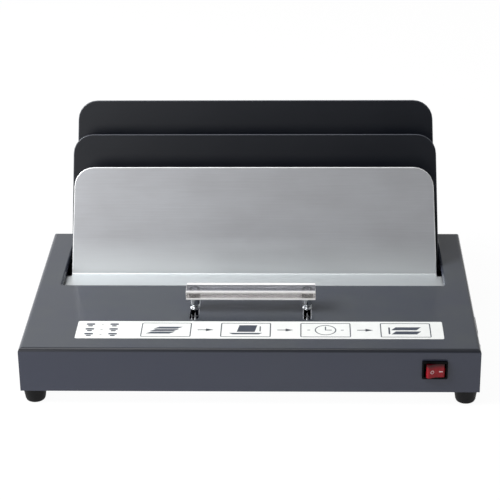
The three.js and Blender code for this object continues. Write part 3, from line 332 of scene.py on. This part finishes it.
# Anodising over brushing: a pale satin, some of its light scattered in the film, in soft clouds drawn out
# along the brushing. The brushed lines are drawn 0.9 mm wide, because real ones are too fine to show. The
# foot of the leaf is painted lighter for 30 mm above the bend, a painted glow of light bounced up from the
# flange, and the flange is painted a little darker than the bend, a painted shade. Under the deck, round
# the posts, the flange is wet with slide oil: a mirror of the dark inside, so the slots look black, with
# each post as a light streak.
brushed_aluminium, tree, shader, place = new_finish("brushed_aluminium")
along = add_node(tree, "ShaderNodeMapping", {"Vector": place, "Scale": (0.02, 1.0, 1.0)})
brush = add_node(tree, "ShaderNodeTexNoise", {"Vector": along.outputs[0], "Scale": 1 / (0.9 * mm),
                                              "Detail": 4.0})
drawn_out = add_node(tree, "ShaderNodeMapping", {"Vector": place, "Scale": (0.5, 1.0, 1.0)})
cloud = add_node(tree, "ShaderNodeTexNoise", {"Vector": drawn_out.outputs[0], "Scale": 1 / (30 * mm),
                                              "Detail": 3.0})
streaked = add_node(tree, "ShaderNodeMix", {"Factor": 0.32, "A": cloud.outputs["Fac"],
                                            "B": brush.outputs["Fac"]}, data_type="FLOAT")
height = add_node(tree, "ShaderNodeSeparateXYZ", {"Vector": place})
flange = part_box("clamp_plate")[0]
bend_top = flange.z + 4.8 * mm
# Painted glow: the foot of the leaf is lighter, fading out 30 mm above the bend.
painted_base_glow = add_node(tree, "ShaderNodeMapRange", {"Value": height.outputs["Z"], "From Min": bend_top,
                                              "From Max": bend_top + 30 * mm})
upper = add_node(tree, "ShaderNodeMix", {"Factor": streaked.outputs["Result"], "A": linear("#d2d5da"),
                                         "B": linear("#aeaeb1")}, data_type="RGBA")
# Painted shade: the flange is a little darker than the bend.
bent = add_node(tree, "ShaderNodeMapRange", {"Value": height.outputs["Z"], "From Min": bend_top - 3 * mm,
                                             "From Max": bend_top - 1 * mm})
foot = add_node(tree, "ShaderNodeMix", {"Factor": bent.outputs[0], "A": linear("#d2d6d8"),
                                        "B": linear("#dfe3e5")}, data_type="RGBA")
lit_foot_and_streaks = add_node(tree, "ShaderNodeMix", {"Factor": painted_base_glow.outputs[0], "A": foot.outputs["Result"],
                                         "B": upper.outputs["Result"]}, data_type="RGBA")
oil_end = flange.y + 28.6 * mm
oiled = add_node(tree, "ShaderNodeMapRange", {"Value": height.outputs["Y"], "From Min": oil_end,
                                              "From Max": oil_end - 3 * mm})
shade = add_node(tree, "ShaderNodeMix", {"Factor": oiled.outputs[0], "A": lit_foot_and_streaks.outputs["Result"],
                                         "B": linear("#d2d2d6")}, data_type="RGBA")
tree.links.new(shade.outputs["Result"], shader.inputs["Base Color"])
satin = add_node(tree, "ShaderNodeMapRange", {"Value": brush.outputs["Fac"], "From Min": 0.25,
                                              "From Max": 0.75, "To Min": 0.32, "To Max": 0.42})
wet = add_node(tree, "ShaderNodeMix", {"Factor": oiled.outputs[0], "A": satin.outputs[0], "B": 0.06},
               data_type="FLOAT")
tree.links.new(wet.outputs["Result"], shader.inputs["Roughness"])
bare = add_node(tree, "ShaderNodeMapRange", {"Value": oiled.outputs[0], "To Min": 0.75})
tree.links.new(bare.outputs[0], shader.inputs["Metallic"])
bump = add_node(tree, "ShaderNodeBump", {"Height": brush.outputs["Fac"], "Strength": 0.05,
                                         "Distance": 0.03 * mm})
tree.links.new(bump.outputs[0], shader.inputs["Normal"])

# The rounded edge is filed and polished bright, so it draws a thin light line round the leaf. The file
# marks are drawn 1.2 mm wide to show.
bright_edge, tree, shader, place = new_finish("bright_edge", Metallic=0.5, Base_Color=linear("#f4f6f7"))
marks = add_node(tree, "ShaderNodeTexNoise", {"Vector": place, "Scale": 1 / (1.2 * mm), "Detail": 3.0})
filed = add_node(tree, "ShaderNodeMapRange", {"Value": marks.outputs["Fac"], "To Min": 0.25, "To Max": 0.4})
tree.links.new(filed.outputs[0], shader.inputs["Roughness"])
dress(["clamp_plate"], brushed_aluminium, 0.72, bright_edge, 30)

# Handle
# A bar of clear cast acrylic with polished edges lies on two turned, chromed posts. Each post passes
# through its slot in the cover and is nutted under the clamp plate's flange.


def add_band(mesh, outside, inside, low, high):
    """A closed ring in a mesh: the space between two outlines of as many points, in metres, raised from
    one height to another."""
    loops = [[mesh.verts.new((x, y, z)) for x, y in outline]
             for outline, z in ((outside, low), (inside, low), (inside, high), (outside, high))]
    for i in range(len(outside)):
        for this, following in zip(loops, loops[1:] + loops[:1]):
            mesh.faces.new((this[i], this[i - 1], following[i - 1], following[i]))


def oblong(x, y, width, height, radius, steps=6):
    """A rounded rectangle about a centre, in metres, as the points of its outline."""
    points = []
    for across, up, start in ((1, 1, 0), (-1, 1, 90), (-1, -1, 180), (1, -1, 270)):
        centre_x = x + across * (width / 2 - radius)
        centre_y = y + up * (height / 2 - radius)
        for step in range(steps + 1):
            angle = math.radians(start + 90 * step / steps)
            points.append((centre_x + radius * math.cos(angle), centre_y + radius * math.sin(angle)))
    return points


def new_piece(name, mesh, finish, body, place):
    """A finished piece from a mesh, put in its place and tied to its body."""
    data = bpy.data.meshes.new(name)
    mesh.normal_update()
    mesh.to_mesh(data)
    mesh.free()
    data.materials.append(finish)
    piece = bpy.data.objects.new(name, data)
    bpy.context.scene.collection.objects.link(piece)
    piece.matrix_world = place
    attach(piece, body)


# Cast acrylic with a fine surface haze from handling, so it is mostly clear and faintly milky. Its top is
# painted grey and its front near white with a warm tint, painted light on the front, and opaque white lines
# are painted along its long edges as painted highlights.
clear_acrylic, tree, shader, place = new_finish("clear_acrylic", IOR=1.49)
bar_low, bar_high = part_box("handle_bar")
spot = add_node(tree, "ShaderNodeSeparateXYZ", {"Vector": place})
facing = add_node(tree, "ShaderNodeTexCoord").outputs["Normal"]
facing = add_node(tree, "ShaderNodeSeparateXYZ", {"Vector": facing})
front = add_node(tree, "ShaderNodeMapRange", {"Value": facing.outputs["Y"], "From Min": -0.4,
                                              "From Max": -0.8})
# Painted light: the front faces take a near white, the top a grey.
painted_face_light = add_node(tree, "ShaderNodeMix", {"Factor": front.outputs[0], "A": linear("#b3b4bd"),
                                        "B": linear("#fff8f4")}, data_type="RGBA")

# Painted highlights: opaque white lines along the bar's long edges.
# Each line: the axis that crosses it, where it begins, where it is full, and how white it is there
back_line, brow_line, crown_line, foot_line = (
    add_node(tree, "ShaderNodeMapRange", {"Value": spot.outputs[axis], "From Min": edge, "From Max": full,
                                          "To Max": whiteness}).outputs[0]
    for axis, edge, full, whiteness in (("Y", bar_high.y - 5.5 * mm, bar_high.y - 4 * mm, 1.0),
                                        ("Y", bar_low.y + 4 * mm, bar_low.y + 1 * mm, 0.6),
                                        ("Z", bar_high.z - 2.2 * mm, bar_high.z - 1.2 * mm, 0.6),
                                        ("Z", bar_low.z + 2.6 * mm, bar_low.z + 1.6 * mm, 1.0)))
top_highlights = add_node(tree, "ShaderNodeMath", {0: back_line, 1: brow_line}, operation="MAXIMUM")
front_highlights = add_node(tree, "ShaderNodeMath", {0: crown_line, 1: foot_line}, operation="MAXIMUM")
lines = add_node(tree, "ShaderNodeMix", {"Factor": front.outputs[0], "A": top_highlights.outputs[0],
                                         "B": front_highlights.outputs[0]}, data_type="FLOAT")
shade = add_node(tree, "ShaderNodeMix", {"Factor": lines.outputs["Result"], "A": painted_face_light.outputs["Result"],
                                         "B": linear("#ffffff")}, data_type="RGBA")
tree.links.new(shade.outputs["Result"], shader.inputs["Base Color"])
clearness = add_node(tree, "ShaderNodeMapRange", {"Value": lines.outputs["Result"], "To Min": 0.84,
                                                  "To Max": 0.0})
tree.links.new(clearness.outputs[0], shader.inputs["Transmission Weight"])
haze = add_node(tree, "ShaderNodeTexNoise", {"Vector": place, "Scale": 1 / (18 * mm), "Detail": 3.0})
polish = add_node(tree, "ShaderNodeMapRange", {"Value": haze.outputs["Fac"], "To Min": 0.05,
                                               "To Max": 0.12})
tree.links.new(polish.outputs[0], shader.inputs["Roughness"])

# The buffed edges scatter more light than the faces and are painted nearly white, partly for that and
# partly as a painted highlight.
acrylic_edge, tree, shader, place = new_finish("acrylic_edge", IOR=1.49, Transmission_Weight=0.15,
                                               Base_Color=linear("#ebe9e9"))
buff = add_node(tree, "ShaderNodeTexNoise", {"Vector": place, "Scale": 1 / (2 * mm), "Detail": 3.0})
buffed = add_node(tree, "ShaderNodeMapRange", {"Value": buff.outputs["Fac"], "To Min": 0.15, "To Max": 0.3})
tree.links.new(buffed.outputs[0], shader.inputs["Roughness"])
dress(["handle_bar"], clear_acrylic, 0.3, acrylic_edge, 15)

# Nickel and chromium plate over turned steel: a near mirror with faint tool rings, drawn 0.4 mm wide,
# because real ones are too fine to show.
turned_chrome, tree, shader, place = new_finish("turned_chrome", Metallic=1.0, Base_Color=linear("#dfe2e4"))
rings = add_node(tree, "ShaderNodeMapping", {"Vector": place, "Scale": (0.05, 0.05, 1.0)})
tooling = add_node(tree, "ShaderNodeTexNoise", {"Vector": rings.outputs[0], "Scale": 1 / (0.4 * mm)})
mirror = add_node(tree, "ShaderNodeMapRange", {"Value": tooling.outputs["Fac"], "To Min": 0.03,
                                               "To Max": 0.12})
tree.links.new(mirror.outputs[0], shader.inputs["Roughness"])
dress(["handle_post_left", "handle_post_right"], turned_chrome, 0.2)
dress(["handle_nut_left", "handle_nut_right"], plated_screws)

# A black ring is set in the bar over each post's spigot and shows dark through it: a dark piece that stands
# in for the shade and dark reflections seen through the bar over each post.
post_shade_black = moulded_plastic("post_shade_black", "#0c0c0e", "#17171a", 0.6, 0.35, 0.3)
shade_ring_width = 9.6 * mm
shade_ring_bore = 4.4 * mm
shade_ring_gap = 0.05 * mm
for side in ("left", "right"):
    post_low, post_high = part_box(f"handle_post_{side}")
    spigot = (post_low + post_high) / 2
    mesh = bmesh.new()
    add_band(mesh, oblong(0, 0, shade_ring_width, shade_ring_width, shade_ring_width / 2),
             oblong(0, 0, shade_ring_bore, shade_ring_bore, shade_ring_bore / 2), bar_low.z + shade_ring_gap, post_high.z)
    new_piece(f"handle_shade_ring_{side}", mesh, post_shade_black, "clamp_carriage",
              Matrix.Translation((spigot.x, spigot.y, 0)))

# Power switch
# A snap-in switch: a black nylon body with its bezel, and a translucent red polycarbonate rocker.
# The rocker's two faces carry the plain ring and bar of off and on, hot-stamped in white.


def add_slab(mesh, outline, low, high):
    """A closed plate in a mesh: a flat outline, in metres, raised from one height to another."""
    under = [mesh.verts.new((x, y, low)) for x, y in outline]
    over = [mesh.verts.new((x, y, high)) for x, y in outline]
    mesh.faces.new(under[::-1])
    mesh.faces.new(over)
    for i in range(len(outline)):
        mesh.faces.new((under[i - 1], under[i], over[i], over[i - 1]))


# Black nylon with a fine dull grain: it stays nearly black in any light, so the rocker stands out.
switch_nylon = moulded_plastic("switch_nylon", "#020203", "#040405", 0.4, 0.5, 0.08)
dress(["switch_body"], switch_nylon, 0.25)

# Transparent red polycarbonate: a clear red, varied at random between bright and deep, and painted dark red
# towards the top as painted shade under the bezel.
red_polycarbonate, tree, shader, place = new_finish("red_polycarbonate", IOR=1.58, Specular_IOR_Level=0.2)
rocker_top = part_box("rocker")[1].z
depth = add_node(tree, "ShaderNodeTexNoise", {"Vector": place, "Scale": 1 / (5 * mm), "Detail": 2.0})
clear = add_node(tree, "ShaderNodeMix", {"Factor": depth.outputs["Fac"], "A": linear("#ac0c20"),
                                         "B": linear("#6c0412")}, data_type="RGBA")
height = add_node(tree, "ShaderNodeSeparateXYZ", {"Vector": place})
# Painted shade: the rocker darkens towards its top, under the bezel.
top_shade = add_node(tree, "ShaderNodeMapRange", {"Value": height.outputs["Z"], "From Min": rocker_top - 5 * mm,
                                             "From Max": rocker_top - 1.5 * mm})
shade = add_node(tree, "ShaderNodeMix", {"Factor": top_shade.outputs[0], "A": clear.outputs["Result"],
                                         "B": linear("#3a0208")}, data_type="RGBA")
tree.links.new(shade.outputs["Result"], shader.inputs["Base Color"])
polish = add_node(tree, "ShaderNodeMapRange", {"Value": depth.outputs["Fac"], "To Min": 0.12,
                                               "To Max": 0.22})
tree.links.new(polish.outputs[0], shader.inputs["Roughness"])
dress(["rocker"], red_polycarbonate)

# Hot-stamping foil: an opaque white, thin enough to take the gloss of what it lies on.
stamped_white, tree, shader, place = new_finish("stamped_white", IOR=1.5, Roughness=0.35)
rub = add_node(tree, "ShaderNodeTexNoise", {"Vector": place, "Scale": 1 / (0.8 * mm), "Detail": 3.0})
shade = add_node(tree, "ShaderNodeMix", {"Factor": rub.outputs["Fac"], "A": linear("#e6c9cc"),
                                         "B": linear("#cfa3a8")}, data_type="RGBA")
tree.links.new(shade.outputs["Result"], shader.inputs["Base Color"])

# The rocker's two faces meet in a valley in front of its pivot. At rest the bar's face lies straight
# along the bezel, and the ring's is turned out by the whole throw. Each mark lies on its own face, at a
# reach from the valley, and is sunk a little into it.
throw = math.radians(22)
valley = 4.6 * mm
mark_height = 3.2 * mm
mark_drop = 0.8 * mm
mark_sink = 0.05 * mm
mark_rise = 0.06 * mm
ring_hole = 2 * mm
bar_line = 0.9 * mm
pivot = Vector(next(joint["pos_m"] for joint in frame["joints"] if joint["name"] == "rocker_tilt"))
valley_line = pivot + valley * Vector((math.sin(throw / 2), -math.cos(throw / 2), 0))
for name, reach, turn in (("off", -3.4 * mm, throw), ("on", 3.9 * mm, 0)):
    along = Vector((math.cos(turn), math.sin(turn), 0))
    outward = Vector((math.sin(turn), -math.cos(turn), 0))
    middle = valley_line + reach * along - Vector((0, 0, mark_drop))
    face = Matrix((along, (0, 0, 1), outward)).transposed().to_4x4()
    mesh = bmesh.new()
    if name == "off":
        add_band(mesh, oblong(0, 0, mark_height, mark_height, mark_height / 2),
                 oblong(0, 0, ring_hole, ring_hole, ring_hole / 2), -mark_sink, mark_rise)
    else:
        add_slab(mesh, oblong(0, 0, mark_height, bar_line, bar_line / 3), -mark_sink, mark_rise)
    new_piece(f"rocker_mark_{name}", mesh, stamped_white, "power_rocker", Matrix.Translation(middle) @ face)

# Power inlet and terminal block
# A three-pin appliance socket in the right-hand wall, moulded in black and held by two screws. Its
# pins are nickel-plated brass. The leads end inside at a block of nylon terminals.

# Black moulded polyester: satin, and a little paler than the switch.
inlet_plastic = moulded_plastic("inlet_plastic", "#0f0f11", "#151517", 0.38, 0.5, 0.35)
dress(["power_inlet"], inlet_plastic, 0.25, None, 35)
dress(["inlet_screw_front", "inlet_screw_rear"], plated_screws, 0.15, None, 40)
dress(["terminal_block"], natural_nylon, 0.25)

# Nickel over drawn brass: a pale, faintly warm metal. The pins are chamfered in two steps at the tip.
nickelled_pins = zinc_plated("nickelled_pins", "#d2cec4", "#bdb8ac", 0.18)
inlet_low, inlet_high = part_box("power_inlet")
inlet_middle = (inlet_low + inlet_high) / 2
pin_root = inlet_high.x - 15 * mm
pin_reach = 12.5 * mm
pin_thick = 2.3 * mm
pin_wide = 4.3 * mm
pin_pitch = 7 * mm
pin_stagger = 2 * mm
pin_taper = [(0, 0), (pin_reach - 1 * mm, 0), (pin_reach - 0.4 * mm, 0.25 * mm), (pin_reach, 0.75 * mm)]
out_of_wall = Matrix(((0, 0, 1), (1, 0, 0), (0, 1, 0))).to_4x4()
for name, across, rise in (("line", -pin_pitch, -pin_stagger), ("earth", 0, pin_stagger),
                           ("neutral", pin_pitch, -pin_stagger)):
    mesh = bmesh.new()
    rings = [[mesh.verts.new((x, y, z))
              for x, y in oblong(0, 0, pin_thick - 2 * inset, pin_wide - 2 * inset, 0.2 * mm)]
             for z, inset in pin_taper]
    mesh.faces.new(rings[0][::-1])
    mesh.faces.new(rings[-1])
    for lower, upper in zip(rings, rings[1:]):
        for i in range(len(lower)):
            mesh.faces.new((lower[i - 1], lower[i], upper[i], upper[i - 1]))
    root = Vector((pin_root, inlet_middle.y + across, inlet_middle.z + rise))
    new_piece(f"inlet_pin_{name}", mesh, nickelled_pins, "housing", Matrix.Translation(root) @ out_of_wall)

# Guide strip
# A printed strip of white polypropylene film, stuck to the deck in front of the handle. Its prints are
# plain figures: rows of bars, then four framed drawings of sheets, a cover, a timer and a bound book.

# White film with a satin overprint varnish: a clean white, faintly mottled where the glue holds it.
printed_film, tree, shader, place = new_finish("printed_film", IOR=1.49)
glue = add_node(tree, "ShaderNodeTexNoise", {"Vector": place, "Scale": 1 / (12 * mm), "Detail": 3.0})
shade = add_node(tree, "ShaderNodeMix", {"Factor": glue.outputs["Fac"], "A": linear("#f6f8f6"),
                                         "B": linear("#eceeec")}, data_type="RGBA")
tree.links.new(shade.outputs["Result"], shader.inputs["Base Color"])
varnish = add_node(tree, "ShaderNodeMapRange", {"Value": glue.outputs["Fac"], "To Min": 0.25,
                                                "To Max": 0.4})
tree.links.new(varnish.outputs[0], shader.inputs["Roughness"])

# Screen ink: a flat slate grey that lies a little proud of the film, broken by the grain of the mesh,
# which is drawn 0.6 mm wide, because the real one is too fine to show.
slate_ink, tree, shader, place = new_finish("slate_ink", IOR=1.5, Roughness=0.5)
screen = add_node(tree, "ShaderNodeTexNoise", {"Vector": place, "Scale": 1 / (0.6 * mm), "Detail": 2.0})
shade = add_node(tree, "ShaderNodeMix", {"Factor": screen.outputs["Fac"], "A": linear("#383d49"),
                                         "B": linear("#4a505c")}, data_type="RGBA")
tree.links.new(shade.outputs["Result"], shader.inputs["Base Color"])

deck_low, deck_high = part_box("housing_cover")
strip_width = 306.2 * mm
strip_depth = 31.4 * mm
strip_left = deck_low.x + 44.8 * mm
strip_front = deck_low.y + 18.8 * mm
film = 0.12 * mm
ink_low = film - 0.02 * mm
ink_high = film + 0.03 * mm
bedding = 0.02 * mm
strip_place = Matrix.Translation((strip_left, strip_front, deck_high.z + bedding))
mesh = bmesh.new()
add_slab(mesh, oblong(strip_width / 2, strip_depth / 2, strip_width, strip_depth, 1.5 * mm), 0, film)
new_piece("guide_strip", mesh, printed_film, "housing", strip_place)

ink = bmesh.new()


def print_shape(x, y, points):
    """A filled figure on the strip, from points round a centre, all in millimetres."""
    add_slab(ink, [((x + across) * mm, (y + up) * mm) for across, up in points], ink_low, ink_high)


def print_bar(x, y, width, height, radius=0.3):
    """A rounded bar on the strip about a centre, all in millimetres."""
    add_slab(ink, oblong(x * mm, y * mm, width * mm, height * mm, radius * mm, 2), ink_low, ink_high)


def print_outline(x, y, width, height, radius, line):
    """A rounded frame on the strip about a centre, all in millimetres."""
    outside = oblong(x * mm, y * mm, width * mm, height * mm, radius * mm)
    inside = oblong(x * mm, y * mm, (width - 2 * line) * mm, (height - 2 * line) * mm, (radius - line) * mm)
    add_band(ink, outside, inside, ink_low, ink_high)


# The prints, in millimetres from the strip's front left corner. First two columns of three pairs of
# bars, with a dot between the columns.
middle = strip_depth / 2 / mm
row_pitch = 8.8
columns = (11, 31)
for row in (-1, 0, 1):
    y = middle + row * row_pitch
    for x in columns:
        print_bar(x, y + 1.2, 7.4, 2.8, 1)
        print_bar(x, y - 2, 4.4, 2.2, 1)
    print_bar(sum(columns) / 2, y, 2, 0.8)

# Four frames, with an arrow from each to the next
first_frame = 75.2
frame_pitch = 66.6
frame_width = 42
frame_height = 25.5
frame_corner = 1.6
frame_line = 0.9
sheets, cover, dial, book = (first_frame + i * frame_pitch for i in range(4))
for x in (sheets, cover, dial, book):
    print_outline(x, middle, frame_width, frame_height, frame_corner, frame_line)
for x in (sheets, cover, dial):
    tip = x + frame_pitch / 2
    print_bar(tip - 2, middle, 10, 1.2)
    print_shape(tip, middle, [(0, -2.4), (6.5, 0), (0, 2.4)])

# Loose sheets
for shift, level in ((-4, -6), (-1, -1.5), (2, 3)):
    print_shape(sheets + shift, middle + level, [(-13, -1), (7, -1), (12, 2.6), (-8, 2.6)])

# Sheets going down into an open cover
print_shape(cover, middle, [(-11, -8), (11, -8), (14, -5.4), (-14, -5.4)])
print_shape(cover, middle, [(-7.5, -3.6), (7.5, -3.6), (9.5, 8.6), (-5.5, 8.6)])
print_bar(cover + 12, middle + 2, 1, 9)

# A timer's dial
dial_width = 18
print_outline(dial, middle, dial_width, dial_width, dial_width / 2, frame_line)
print_bar(dial, middle + 3, 1, 7)
print_bar(dial + 2.4, middle, 5.6, 1)
for across in (-14, 14):
    print_bar(dial + across, middle, 2.5, 1)

# The bound book
print_shape(book, middle, [(-12, -7.5), (9, -7.5), (13, -2), (-8, -2)])
print_shape(book, middle, [(-12, 0), (9, 0), (13, 5.5), (-8, 5.5)])
print_bar(book - 13.6, middle - 1, 1.4, 12)

new_piece("guide_strip_ink", ink, slate_ink, "housing", strip_place)

# Studio
# A white paper floor under soft lamps at the left, above and a little in front, and a long-lens camera
# a little above the machine. The room at the front right is dim, so the enamel stays dark there.

floor_reach = 6.0
floor_mesh = bpy.data.meshes.new("floor")
floor_mesh.from_pydata([(-floor_reach, -floor_reach, 0), (floor_reach, -floor_reach, 0),
                        (floor_reach, floor_reach, 0), (-floor_reach, floor_reach, 0)], [], [(0, 1, 2, 3)])
floor = bpy.data.objects.new("floor", floor_mesh)
bpy.context.scene.collection.objects.link(floor)


def rays_in(tree):
    """What looks at a point: the camera itself, and a reflection or a view through something clear."""
    path = add_node(tree, "ShaderNodeLightPath")
    mirrored = add_node(tree, "ShaderNodeMath", {0: path.outputs["Is Glossy Ray"],
                                                 1: path.outputs["Is Transmission Ray"]},
                        operation="MAXIMUM")
    return path.outputs["Is Camera Ray"], mirrored.outputs[0]


# Matt white paper, which a look at it or at its reflection finds nearly white, with the shadow left in.
# The paper ends in front of the machine, where reflections find the dim floor of the room.
paper_end = -0.4
floor_paper = bpy.data.materials.new("floor_paper")
floor_paper.use_nodes = True
tree = floor_paper.node_tree
tree.nodes.clear()
place = add_node(tree, "ShaderNodeTexCoord").outputs["Object"]
place = add_node(tree, "ShaderNodeSeparateXYZ", {"Vector": place})
paper = add_node(tree, "ShaderNodeMapRange", {"Value": place.outputs["Y"], "From Min": paper_end - 0.3,
                                              "From Max": paper_end})
shade = add_node(tree, "ShaderNodeMix", {"Factor": paper.outputs[0], "A": linear("#7c7c80"),
                                         "B": linear("#d4d4d4")}, data_type="RGBA")
lit = add_node(tree, "ShaderNodeBsdfDiffuse", {"Color": shade.outputs["Result"]})
glow = add_node(tree, "ShaderNodeEmission", {"Color": linear("#ffffff"), "Strength": 1.06})
direct, mirrored = rays_in(tree)
mirrored = add_node(tree, "ShaderNodeMath", {0: mirrored, 1: paper.outputs[0]}, operation="MULTIPLY")
seen = add_node(tree, "ShaderNodeMath", {0: mirrored.outputs[0], 1: direct}, operation="MAXIMUM")
share = add_node(tree, "ShaderNodeMath", {0: seen.outputs[0], 1: 0.9}, operation="MULTIPLY")
mixed = add_node(tree, "ShaderNodeMixShader", {0: share.outputs[0], 1: lit.outputs[0], 2: glow.outputs[0]})
add_node(tree, "ShaderNodeOutputMaterial", {"Surface": mixed.outputs[0]})
floor_mesh.materials.append(floor_paper)

# The room, as reflections find it: bright at the front left except far to the side, fairly bright
# behind, and dim at the front right and overhead. Its light on a surface is a weak, even fill, and the
# camera finds it white.
studio = bpy.data.worlds.new("studio")
bpy.context.scene.world = studio
studio.use_nodes = True
tree = studio.node_tree
tree.nodes.clear()
way = add_node(tree, "ShaderNodeTexCoord").outputs["Generated"]
way = add_node(tree, "ShaderNodeSeparateXYZ", {"Vector": way})
in_front = add_node(tree, "ShaderNodeMapRange", {"Value": way.outputs["X"], "From Min": -0.35,
                                                 "From Max": 0.1, "To Min": 1.4, "To Max": 0.08})
far_corner = add_node(tree, "ShaderNodeMapRange", {"Value": way.outputs["X"], "From Min": -0.65,
                                                   "From Max": -0.3, "To Min": 0.15})
in_front = add_node(tree, "ShaderNodeMath", {0: in_front.outputs[0], 1: far_corner.outputs[0]},
                    operation="MULTIPLY")
behind = add_node(tree, "ShaderNodeMapRange", {"Value": way.outputs["X"], "From Min": -0.14,
                                               "From Max": 0.1, "To Min": 0.84, "To Max": 0.4})
back = add_node(tree, "ShaderNodeMapRange", {"Value": way.outputs["Y"], "From Min": -0.35,
                                             "From Max": 0.25})
walls = add_node(tree, "ShaderNodeMix", {"Factor": back.outputs[0], "A": in_front.outputs[0],
                                         "B": behind.outputs[0]}, data_type="FLOAT")
up = add_node(tree, "ShaderNodeMapRange", {"Value": way.outputs["Z"], "From Min": 0.5, "From Max": 0.85})
level = add_node(tree, "ShaderNodeMix", {"Factor": up.outputs[0], "A": walls.outputs["Result"], "B": 0.28},
                 data_type="FLOAT")
direct, mirrored = rays_in(tree)
fill = add_node(tree, "ShaderNodeMix", {"Factor": mirrored, "A": 0.2, "B": level.outputs["Result"]},
                data_type="FLOAT")
seen = add_node(tree, "ShaderNodeMix", {"Factor": direct, "A": fill.outputs["Result"], "B": 1.0},
                data_type="FLOAT")
air = add_node(tree, "ShaderNodeBackground", {"Color": linear("#ffffff"),
                                              "Strength": seen.outputs["Result"]})
add_node(tree, "ShaderNodeOutputWorld", {"Surface": air.outputs[0]})

machine_middle = Vector((0, 0, 0.05))


def softbox(name, place, width, height, power):
    """A large soft lamp at a place, turned to face the machine."""
    lamp = bpy.data.lights.new(name, "AREA")
    lamp.shape = "RECTANGLE"
    lamp.size = width
    lamp.size_y = height
    lamp.energy = power
    stand = bpy.data.objects.new(name, lamp)
    bpy.context.scene.collection.objects.link(stand)
    stand.location = place
    stand.rotation_euler = (machine_middle - Vector(place)).to_track_quat("-Z", "Y").to_euler()


softbox("key_softbox", (-1.05, -0.52, 1.3), 0.7, 0.7, 20)
softbox("left_softbox", (-1.5, 0.0, 0.95), 0.9, 0.9, 14)
softbox("top_softbox", (-0.3, -0.25, 1.6), 0.9, 0.9, 7)
softbox("front_left_softbox", (-0.8, -0.8, 0.35), 1.2, 0.64, 2.9)

# Camera: where it stands, in metres, and how it is turned, in degrees.
lens_to_sensor = 3.51
camera_place = Vector((0.04439, -1.39389, 0.72199))
yaw, pitch, roll = (math.radians(angle) for angle in (1.955, 24.517, 0.7477))
forward = Vector((-math.sin(yaw) * math.cos(pitch), math.cos(yaw) * math.cos(pitch), -math.sin(pitch)))
level_right = Vector((math.cos(yaw), math.sin(yaw), 0))
level_down = forward.cross(level_right)
right = math.cos(roll) * level_right + math.sin(roll) * level_down
down = -math.sin(roll) * level_right + math.cos(roll) * level_down
lens = bpy.data.cameras.new("camera")
lens.sensor_width = 36
lens.lens = lens_to_sensor * lens.sensor_width
lens.clip_start = 0.05
lens.clip_end = 50
camera = bpy.data.objects.new("camera", lens)
bpy.context.scene.collection.objects.link(camera)
camera_axes = Matrix((right, -down, -forward)).transposed().to_4x4()
camera.matrix_world = Matrix.Translation(camera_place) @ camera_axes
bpy.context.scene.camera = camera
bpy.context.scene.view_settings.view_transform = "Standard"
